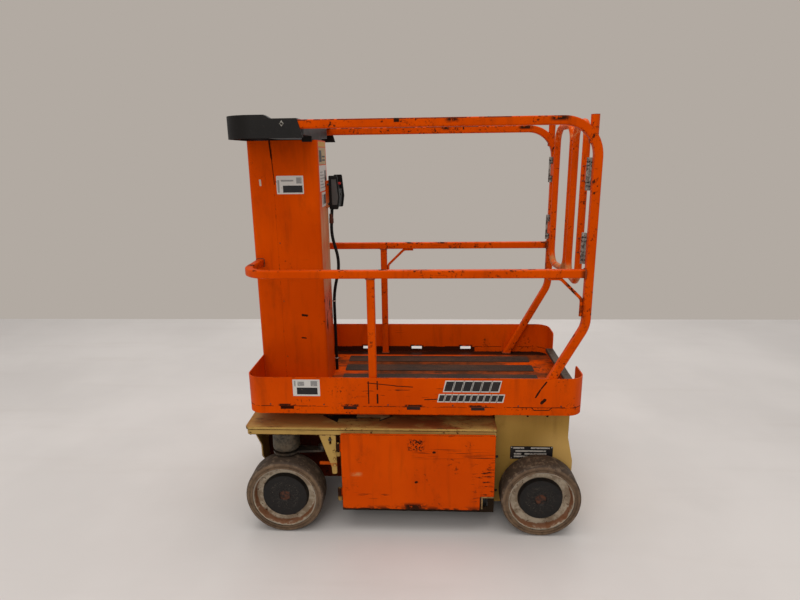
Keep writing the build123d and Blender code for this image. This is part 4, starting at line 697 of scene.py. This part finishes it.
# ---- Rear cover ----
# Folded cover over the drive motors, in the cream enamel but less worn than the chassis. A
# small black data plate with plain white bars is riveted above each rear wheel.
def cover_light_and_holes(f, colour):
    """The cover is painted paler towards its lower rear corner, a painted pool of light, and two plugged
    holes show dark near its top.
    """
    # Painted light: paler towards the lower rear corner.
    painted_light = f.both(f.past(0, 0.46, 0.62), f.past(2, 0.46, 0.34))
    colour = f.mix(painted_light, colour, (206, 166, 96))
    holes = [f.stroke((x, 0.4855), (x + 0.001, 0.4855), 0.008, 0.1) for x in (0.476, 0.556)]
    return f.mix(f.either(*holes), colour, SOOT)


dress(worn_paint("cream_cover", (176, 141, 72), (158, 124, 62), RUST_BROWN, 0.25, 0.6,
                 cover=cover_light_and_holes), "rear_cover")

low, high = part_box("rear_cover")
plate_black = film("plate_black", (26, 24, 26), (70, 58, 44), 0.2)
plate_white = film("plate_white", (196, 190, 180), (70, 62, 54), 0.35, 120)
PLATE_SIZE = (0.176, 0.059)
shapes = []
for side in (-1, 1):
    corner = np.array((0.411 if side < 0 else 0.587, side * high.y, 0.290))
    along = reading(side)
    shapes.append(plate(rectangle((0, 0), PLATE_SIZE, 0.004), corner, along, Z, 0.001))
    for u, v, length in ((0.012, 0.048, 0.045), (0.085, 0.048, 0.078), (0.022, 0.034, 0.126),
                         (0.016, 0.021, 0.030), (0.060, 0.021, 0.090), (0.016, 0.009, 0.120)):
        shapes.append(plate(rectangle((u, v), (u + length, v + 0.0065)), corner, along, Z, 0.0014, 1))
    for u, v in ((0.005, 0.005), (0.171, 0.005), (0.005, 0.054), (0.171, 0.054)):
        shapes.append(rivet(corner + u * along + v * Z + side * 0.001 * Y, side * Y, 0.0028, 1))
fit("rear_plates", shapes, "chassis", "black_plastic", plate_black, plate_white)

shapes = []
for side in (-1, 1):
    for x, z in ((low.x + 0.075, high.z - 0.022), (high.x - 0.075, high.z - 0.022),
                 (low.x + 0.014, 0.30), (low.x + 0.014, 0.14)):
        shapes += bolt((x, side * high.y, z), side * Y, 0.0048)
fit("rear_cover_bolts", shapes, "chassis", "machined_steel", dark_bolts)


# ---- Deck and toe board ----
# Orange platform with gritty strips glued to its floor, and a band of sheet steel welded
# round it. The band is scraped along the seam, and sooty round the drain slots.
def board_marks(f):
    """Soot round the drain slots, a scraped seam, and dark strokes where the posts are let in."""
    seam = f.both(f.within(2, 0.5635, 0.5685, 0.0012), f.patches(0.46, 0.52, 20, 4, (1, 1, 0.3), 0.7))
    outside = f.outboard(0.3585, 0.3590)
    scrape = f.both(outside, f.within(0, -0.17, 0.30, 0.05), f.within(2, 0.585, 0.655, 0.02),
                    f.patches(0.63, 0.66, 30, 3, (0.25, 1, 4)))
    near = f.past(1, -0.34, -0.35)
    strokes = [f.stroke(*line) for line in (
        ((-0.166, 0.672), (-0.166, 0.580), 0.0045), ((-0.131, 0.674), (-0.131, 0.640), 0.005),
        ((-0.131, 0.618), (-0.131, 0.582), 0.007), ((-0.170, 0.667), (-0.060, 0.656), 0.0035),
        ((-0.062, 0.655), (0.008, 0.651), 0.0035), ((0.486, 0.612), (0.502, 0.642), 0.007, 0.6),
        ((0.506, 0.648), (0.524, 0.674), 0.006, 0.6), ((0.510, 0.588), (0.521, 0.600), 0.013, 0.5),
        ((0.400, 0.5675), (0.474, 0.5675), 0.003, 0.3), ((0.548, 0.5675), (0.600, 0.5685), 0.003, 0.3),
        ((0.055, 0.598), (0.19, 0.604), 0.004, 0.9), ((-0.46, 0.672), (-0.40, 0.673), 0.006, 1.0))]
    slots = [f.area((x - 0.034, x + 0.034, 0.006), (0.552, 0.576, 0.003),
                    f.patches(0.40, 0.5, 60, 4, rough=0.75)) for x in drain_places]
    return f.either(seam, scrape, f.both(near, f.either(*strokes)), *slots)


def notch_marks(f):
    """The joint steps down under the leg's foot, where the band was cut away and welded up again."""
    near = f.past(1, -0.34, -0.35)
    corners = ((0.472, 0.5665), (0.482, 0.5560), (0.538, 0.5565), (0.550, 0.5665))
    steps = [f.stroke(*line, 0.0032, 0.3) for line in zip(corners, corners[1:])]
    scuff = f.area((0.36, 0.56, 0.03), (0.555, 0.566, 0.003), f.patches(0.58, 0.62, 90, 4, rough=0.75))
    return f.both(near, f.either(scuff, *steps))


def deck_soil_and_slot_shade(f, colour):
    """Brown tread dirt on top of the deck, near-black along its sides, and painted shade on the pan's edge
    that shows through the drain slots.
    """
    middle = f.both(f.within(0, -0.18, 0.42, 0.12), f.outboard(0.29, 0.22))
    patch = f.ramp(f.calc("MULTIPLY_ADD", middle, 0.16, f.noise(9, 6, (0.4, 1, 1), 0.7)), 0.38, 0.6)
    brown = f.mix(f.patches(0.4, 0.6, 14, 5, rough=0.7), (82, 46, 27), (126, 58, 26))
    colour = f.mix(f.both(f.facing(2), patch), colour, brown)
    side = f.both(f.outboard(0.290, 0.312), f.facing(2))
    # Painted shade: the pan's edge behind the drain slots is near-black, so the slots look dark.
    slot = f.both(f.outboard(0.3588, 0.3582), f.within(0, -0.535, 0.31, 0.002), f.past(2, 0.541, 0.5415))
    return f.mix(f.both(f.either(side, slot), 0.95), colour, (30, 21, 16))


board_low, board_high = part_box("toe_board")
drain_places = [board_low.x + 0.162 + 0.252 * i for i in range(4)]
dress(worn_paint("orange_board", *ORANGE_COAT, 0.3, 0.35, marks=board_marks), "toe_board")
dress(worn_paint("sill_paint", (84, 70, 58), (58, 48, 40), BARE_DARK, 0.9, 0.7), "entry_sill")
dress(worn_paint("orange_deck", *ORANGE_COAT, 0.5, 0.5, marks=notch_marks, cover=deck_soil_and_slot_shade, shine=0.03),
      "deck_pan")

grit = Finish("grit_strip")
tread = grit.mix(grit.patches(0.4, 0.65, 8, 6, (0.4, 1, 1), 0.7), (44, 33, 26), (74, 46, 30))
tread = grit.mix(grit.patches(0.55, 0.7, 420, 2), tread, (88, 68, 54))
dress(grit.done(tread, 0.85, grit.noise(420, 3, rough=0.7), 0.7, 0.001), "deck_grip")

# A white label with a black band near the front corner of each side, and two rows of plain black
# blocks with white edges amidships, printed on film.
label_white = film("label_white", (206, 202, 196), (150, 120, 92), 0.12, 90)
label_grey = film("label_grey", (140, 138, 136), (190, 180, 170), 0.3, 160)
label_black = film("label_black", (28, 26, 28), (96, 80, 66), 0.15, 80)


def printed(bars, corner, along):
    """Bars printed on film, grey (1) or black (2): (left, bottom, width, height, colour) in metres."""
    return [plate(rectangle((u, v), (u + width, v + height)), corner, along, Z, 0.0008, number)
            for u, v, width, height, number in bars]


def label(corner, along, size, bars):
    """A white film with its bars."""
    return [plate(rectangle((0, 0), size, 0.002), corner, along, Z, 0.0005), *printed(bars, corner, along)]


NAME_BARS = ((0.006, 0.041, 0.006, 0.023, 1), (0.020, 0.043, 0.026, 0.018, 1),
             (0.072, 0.042, 0.026, 0.022, 1), (0.016, 0.007, 0.082, 0.029, 2))
shapes = []
for side in (-1, 1):
    corner = (-0.466 if side < 0 else -0.356, side * board_high.y, 0.610)
    shapes += label(corner, reading(side), (0.108, 0.070), NAME_BARS)
for side in (-1, 1):
    along = reading(side)
    for v, height, shift, count, step in ((0.635, 0.040, 0.022, 6, 0.036), (0.592, 0.026, 0.0, 10, 0.0255)):
        start = np.array((0.108 if side < 0 else 0.368, side * board_high.y, 0.0)) + shift * along
        slant = height * 0.25
        for i in range(count):
            for pad, lift, number in ((0.0045, 0.0004, 0), (0.0, 0.0008, 2)):
                u = i * step - pad
                wide = step - 0.0065 + 2 * pad
                bar = [(u, v - pad), (u + wide, v - pad), (u + wide + slant, v + height + pad),
                       (u + slant, v + height + pad)]
                shapes.append(plate(bar, start, along, Z, lift, number))
fit("board_labels", shapes, "platform", "cream_paint", label_white, label_grey, label_black)

# Beads round the tubes: the foot and head of each post, the foot of each leg, and the rear and
# front ends of each mid rail. The last one is a short run in the rear bend.
TUBE = 0.0155
rail_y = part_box("side_frame_right")[1].y - TUBE
POST_X, LEG_X, MID_REAR, MID_FRONT, BEND_X = -0.149, 0.4705, 0.6448, -0.636, 0.628
DECK_TOP, POST_TOP, MID_RAIL = 0.5432, 1.0822, 1.098
shapes = []
for side in (-1, 1):
    for x, y, z, first, second, slack, radius in (
        (POST_X, rail_y, DECK_TOP, X, Y, 0.001, 0.0028), (LEG_X, rail_y, DECK_TOP, X, Y, 0.0035, 0.0030),
        (POST_X, rail_y, POST_TOP, X, Y, 0.001, 0.0026), (MID_REAR, rail_y, MID_RAIL, Y, Z, 0.001, 0.0026),
        (MID_FRONT, 0.1006, MID_RAIL, X, Z, 0.001, 0.0026),
    ):
        ring = ring_path((x, side * y, z), first, second, TUBE + slack, TUBE + 0.001)
        shapes.append(bead(ring, radius, True))
    shapes.append(bead([(BEND_X, side * rail_y, 1.5995), (BEND_X, side * rail_y, 1.5620)], 0.0022))
fit("rail_welds", shapes, "platform", "orange_paint", orange_weld)

# Rivets that hold the band to the pan, in a row just above the joint.
RIVET_Z = 0.574
shapes = []
for side in (-1, 1):
    for x in (-0.560, -0.345, -0.090, 0.165, 0.420, 0.585):
        shapes.append(rivet((x, side * board_high.y, RIVET_Z), side * Y, 0.0032))
for y in (-0.17, -0.06, 0.06, 0.17):
    shapes.append(rivet((board_high.x, y, RIVET_Z), X, 0.0032))
fit("board_rivets", shapes, "platform", "orange_paint", dark_bolts)


# ---- Guard rails and gates ----
# Bent steel tube in the same orange, rubbed to black primer along its upper corners, with
# zinc-plated hinges on the gates. Straps and tools have scuffed the rails near the posts.
def rail_marks(f):
    """Black rubbing on the tops of the rails in long patches, and scuffs beside the rear posts."""
    patch = f.noise(12, 5, (1, 1, 0.2), 0.72)
    crown = f.both(f.facing(2, 0.92, 0.75), f.within(2, 1.6505, 1.658, 0.0015), f.ramp(patch, 0.44, 0.50),
                   f.past(0, 0.625, 0.615))
    flank = f.both(f.within(2, 1.640, 1.658, 0.002), f.ramp(patch, 0.60, 0.63), f.past(0, 0.60, 0.58))
    mid = f.both(f.within(2, 1.1095, 1.1155, 0.002), f.patches(0.56, 0.61, 14, 5, (1, 1, 0.2), 0.72))
    places = ((0.13, 0.17, 1.640, 1.654, 0.42), (0.49, 0.55, 1.638, 1.654, 0.42),
              (0.632, 0.646, 1.078, 1.112, 0.36), (0.628, 0.660, 1.54, 1.60, 0.58),
              (0.635, 0.646, 0.93, 1.01, 0.44), (0.58, 0.63, 1.02, 1.07, 0.48))
    scuffs = [f.area((x0, x1, 0.012), (z0, z1, 0.006),
                     f.patches(cut, cut + 0.04, 48, 4, rough=0.75)) for x0, x1, z0, z1, cut in places]
    return f.either(crown, flank, mid, *scuffs)


def gate_wear_and_highlight(f, colour):
    """The upper bends of the gates carry pale specks, a painted highlight; the lower bends are rubbed down to
    tan primer.
    """
    rub = f.patches(0.53, 0.60, 110, 5, (1, 1, 0.35), 0.8)
    high = f.both(f.within(2, 1.585, 1.66, 0.02), rub)
    low = f.both(f.within(2, 1.015, 1.075, 0.012), f.patches(0.42, 0.54, 22, 5, rough=0.7))
    # Painted highlight: pale specks on the upper bends of the gates.
    colour = f.mix(f.both(high, 0.7), colour, (226, 160, 104))
    colour = f.mix(f.both(low, 0.8), colour, (176, 118, 70))
    leaf = f.both(f.outboard(0.296, 0.299), f.past(2, 1.14, 1.145))
    zinc = f.mix(f.patches(0.4, 0.6, 60, 5, rough=0.7), (160, 155, 146), (76, 70, 64))
    return f.mix(leaf, colour, zinc)


dress(worn_paint("orange_rail", *ORANGE_COAT, 0.9, 0.75, marks=rail_marks, edge=0.006),
      "side_frame_left", "side_frame_right", "mid_rail_left", "mid_rail_right")
dress(worn_paint("orange_gate", *ORANGE_COAT, 0.7, 0.6, cover=gate_wear_and_highlight, edge=0.006),
      "gate_left", "gate_right")


HINGE_HEIGHTS = (1.188, 1.455)


def hinge_grease(f, colour):
    """Black grease squeezed out at the ends of the hinge barrels and round their screws."""
    spots = [f.within(2, z + off - 0.004, z + off + 0.004, 0.003) for z in HINGE_HEIGHTS
             for off in (-0.042, -0.028, 0.028, 0.042)]
    return f.mix(f.both(f.either(*spots), f.patches(0.44, 0.52, 150, 4, rough=0.75)), colour, SOOT)


dress(bare_metal("zinc", (168, 164, 156), (96, 90, 84), 0.6, 0.5, 70, (70, 54, 42),
                 hinge_grease), "gate_hinges_left", "gate_hinges_right")

# Beads where the hinge straps meet the gates' tubes and the rear posts.
for name, side in (("left", -1), ("right", 1)):
    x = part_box("gate_hinges_" + name)[1].x + 0.0005
    y = side * rail_y - side * 0.0145
    shapes, strap_shapes = [], []
    for z in HINGE_HEIGHTS:
        for lift in (-0.027, 0.027):
            shapes.append(bead([(0.636, side * 0.246, z + lift), (0.660, side * 0.246, z + lift)], 0.0022))
        strap_shapes.append(bead([(x, y, z - 0.055), (x, y, z + 0.055)], 0.0024))
    fit("gate_welds_" + name, shapes, "gate_" + name, "orange_paint", orange_weld)
    fit("hinge_welds_" + name, strap_shapes, "platform", "orange_paint", orange_weld)


# ---- Mast cover ----
# Two tall folded steel shells that hide the mast, lightly marked, with labels of plain bars.
def cover_marks(f):
    """A few short strokes low on the side, and rubbed paint beside the rear fold."""
    near = f.past(1, -0.094, -0.098)
    side = [f.stroke(*line) for line in (((-0.470, 0.868), (-0.452, 0.866), 0.010, 0.7),
                                         ((-0.478, 0.766), (-0.462, 0.764), 0.006, 0.8))]
    rear = f.both(f.past(0, -0.376, -0.3735), f.within(2, 0.78, 0.98, 0.03),
                  f.patches(0.55, 0.60, 34, 4, (1, 1, 0.35), 0.75))
    return f.either(f.both(near, f.either(*side)), rear)


def cover_fading(f, colour):
    """Paint rubbed thin and tan down the rear face, a pale nick in front, and a dark gap at the seam."""
    tan = f.both(f.past(0, mast_high.x - 0.0015, mast_high.x - 0.0005), f.within(2, 0.97, 1.33, 0.05),
                 f.patches(0.30, 0.55, 9, 5, (1, 1, 0.4), 0.65))
    colour = f.mix(f.both(tan, 0.9), colour, (204, 142, 94))
    side = f.past(1, -0.094, -0.098)
    nick = f.both(side, f.stroke((-0.613, 1.437), (-0.612, 1.418), 0.008, 0.3))
    colour = f.mix(nick, colour, (190, 176, 160))
    gap = f.either(f.stroke((-0.5640, 1.59), (-0.5600, 1.525), 0.007, 0.2),
                   f.stroke((-0.5600, 1.525), (-0.5535, 1.42), 0.003, 0.4))
    return f.mix(f.both(side, gap), colour, (60, 22, 8))


mast_low, mast_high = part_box("mast_cover_rear")
dress(worn_paint("orange_cover", *ORANGE_COAT, 0.12, 0.25, marks=cover_marks, cover=cover_fading),
      "mast_cover_front", "mast_cover_rear", "box_bracket")

label_yellow = film("label_yellow", (196, 150, 40), (150, 110, 60), 0.25, 70)
label_tan = film("label_tan", (178, 150, 104), (140, 110, 76), 0.35, 70)
SIDE_BARS = ((0.004, 0.006, 0.008, 0.050, 1), (0.020, 0.050, 0.050, 0.007, 1),
             (0.082, 0.042, 0.022, 0.024, 1), (0.026, 0.006, 0.080, 0.028, 2))
REAR_BARS = (*[(0.012, 1.400 + 0.0125 * i, 0.100 - 0.02 * (i % 3), 0.0045, 1) for i in range(6)],
             (0.112, 1.400, 0.028, 0.070, 2), (0.040, 1.332, 0.030, 0.040, 1),
             (0.078, 1.332, 0.034, 0.040, 2), (0.010, 1.506, 0.050, 0.046, 2),
             (0.070, 1.510, 0.065, 0.006, 2), (0.070, 1.524, 0.065, 0.006, 2))
shapes = label((-0.546, mast_low.y, 1.381), X, (0.111, 0.073), SIDE_BARS)
shapes += label((-0.435, mast_high.y, 1.381), -X, (0.111, 0.073), SIDE_BARS)
rear = (mast_high.x, -0.078, 0.0)
for z0, z1, number in ((1.388, 1.492, 0), (1.496, 1.563, 3), (1.567, 1.586, 4)):
    shapes.append(plate(rectangle((0, z0), (0.150, z1), 0.002), rear, Y, Z, 0.0005, number))
shapes.append(plate(rectangle((0.030, 1.322), (0.120, 1.382), 0.002), rear, Y, Z, 0.0005))
shapes += printed(REAR_BARS, rear, Y)
fit("cover_labels", shapes, "platform", "cream_paint", label_white, label_grey, label_black, label_tan,
    label_yellow)

shapes = []
front_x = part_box("mast_cover_front")[1].x + 0.010
for side in (-1, 1):
    for z in (0.68, 0.93, 1.18, 1.43):
        shapes.append(rivet((front_x, side * mast_high.y, z), side * Y, 0.0030))
fit("cover_rivets", shapes, "platform", "orange_paint", orange_weld)


# ---- Tool tray, control box and cable ----
# Moulded black plastic with a fine grain, greyed by dust, and a black rubber-jacketed cable.
def plastic(name, tone, dusty, grain=300, cover=None):
    """Moulded plastic with a fine leathery grain and dust on its upper faces."""
    f = Finish(name)
    dust = f.both(f.facing(2), f.patches(0.4, 0.7, 14, 5, rough=0.7))
    colour = f.mix(f.both(dust, 0.6), tone, dusty)
    rim = f.both(f.edges(0.003), f.patches(0.45, 0.6, 30, 4), 0.6)
    colour = f.mix(rim, colour, dusty)
    colour = f.mix(f.both(f.patches(0.56, 0.66, 70, 5, rough=0.8), 0.35), colour, dusty)
    if cover:
        colour = cover(f, colour)
    gloss = f.sway(0.2, 0.42, 25, 4)
    return f.done(colour, gloss, f.noise(grain, 4, rough=0.7), 0.3, 0.0006, round_edges=0.002, shine=0.2)


box_low, box_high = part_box("control_box")


def button_red(f, colour):
    """The mushroom head of the stop button is red, worn to pink on top."""
    head = f.both(f.within(1, box_high.y - 0.053, box_high.y - 0.023, 0.001),
                  f.within(2, box_high.z - 0.0435, box_high.z - 0.030, 0.0005))
    return f.mix(head, colour, f.mix(f.patches(0.5, 0.7, 90, 3), (170, 20, 16), (190, 70, 60)))


dress(plastic("tray_plastic", (22, 19, 17), (46, 42, 38)), "tool_tray")
dress(plastic("box_plastic", (18, 17, 16), (46, 44, 41), cover=button_red), "control_box")
dress(plastic("cable_rubber", (14, 13, 13), (38, 34, 31), 120), "control_cable")

tray_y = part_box("tool_tray")[1].y
shapes = []
washer = [(-0.008, 0.0), (0.0, -0.011), (0.008, 0.0), (0.0, 0.011)]
for side in (-1, 1):
    spot = (-0.444, side * tray_y, 1.641)
    shapes.append(plate(washer, spot, reading(side), Z, 0.002))
    shapes.append(turned([(0.004, 0.0), (0.004, 0.004), (0.003, 0.005)], spot, side * Y, 6, 1))
fit("tray_screws", shapes, "platform", "zinc_steel", zinc_bolts, dark_bolts)

# Grey rims on the two cheeks of the control box, two rocker switches on its panel, the screws of
# its bracket, and the brown plug and pale ties on the cable below it.
grey_trim = plastic("trim_grey", (84, 84, 82), (110, 108, 104))
brown_plug = plastic("plug_brown", (84, 44, 30), (120, 84, 64))
pale_tie = plastic("tie_pale", (176, 170, 160), (120, 112, 100))
shapes = []
rim = [(0.012, 0.020), (0.034, 0.020), (0.040, 0.052), (0.032, 0.130), (0.012, 0.130)]
for y in (box_low.y - 0.0012, box_high.y):
    shapes.append(plate(rim, (box_low.x, y + 0.0012, box_low.z), X, Z, 0.0012))
for step in (0.030, 0.075):
    corner = (box_high.x - 0.008, box_low.y + step, box_low.z + 0.056)
    shapes.append(plate(rectangle((0, 0), (0.016, 0.010), 0.002), corner, Y, Z, 0.003, 1))
fit("box_trim", shapes, "platform", "black_plastic", grey_trim, dark_bolts)

bracket_low, bracket_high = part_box("box_bracket")
shapes = []
for y in (bracket_low.y + 0.014, 0.080):
    for z in (bracket_low.z + 0.016, bracket_high.z - 0.016):
        shapes += bolt((bracket_high.x, y, z), X, 0.0042)
fit("bracket_screws", shapes, "platform", "zinc_steel", dark_bolts)

cable_low, cable_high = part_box("control_cable")
cable_y = (cable_low.y + cable_high.y) / 2
cable_x = cable_low.x + 0.0070
collar = [(0.0074, 0.0), (0.0100, 0.002), (0.0100, 0.020), (0.0088, 0.026), (0.0088, 0.040), (0.0074, 0.043)]
shapes = [turned(collar, (cable_x + 0.0035, cable_y, cable_high.z - 0.062), Z, 16)]
tie = [(0.0074, -0.003), (0.0088, -0.002), (0.0088, 0.002), (0.0074, 0.003)]
for z in (0.88, 0.60):
    shapes.append(turned(tie, (cable_x, cable_y, z), Z, 16, 1))
fit("cable_fittings", shapes, "platform", "cable_jacket", brown_plug, pale_tie)

# ---- Bounds of the CAD parts and of everything drawn ----
size = {"cad": [list(v) for v in cad_box], "visual": [list(v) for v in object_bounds()]}
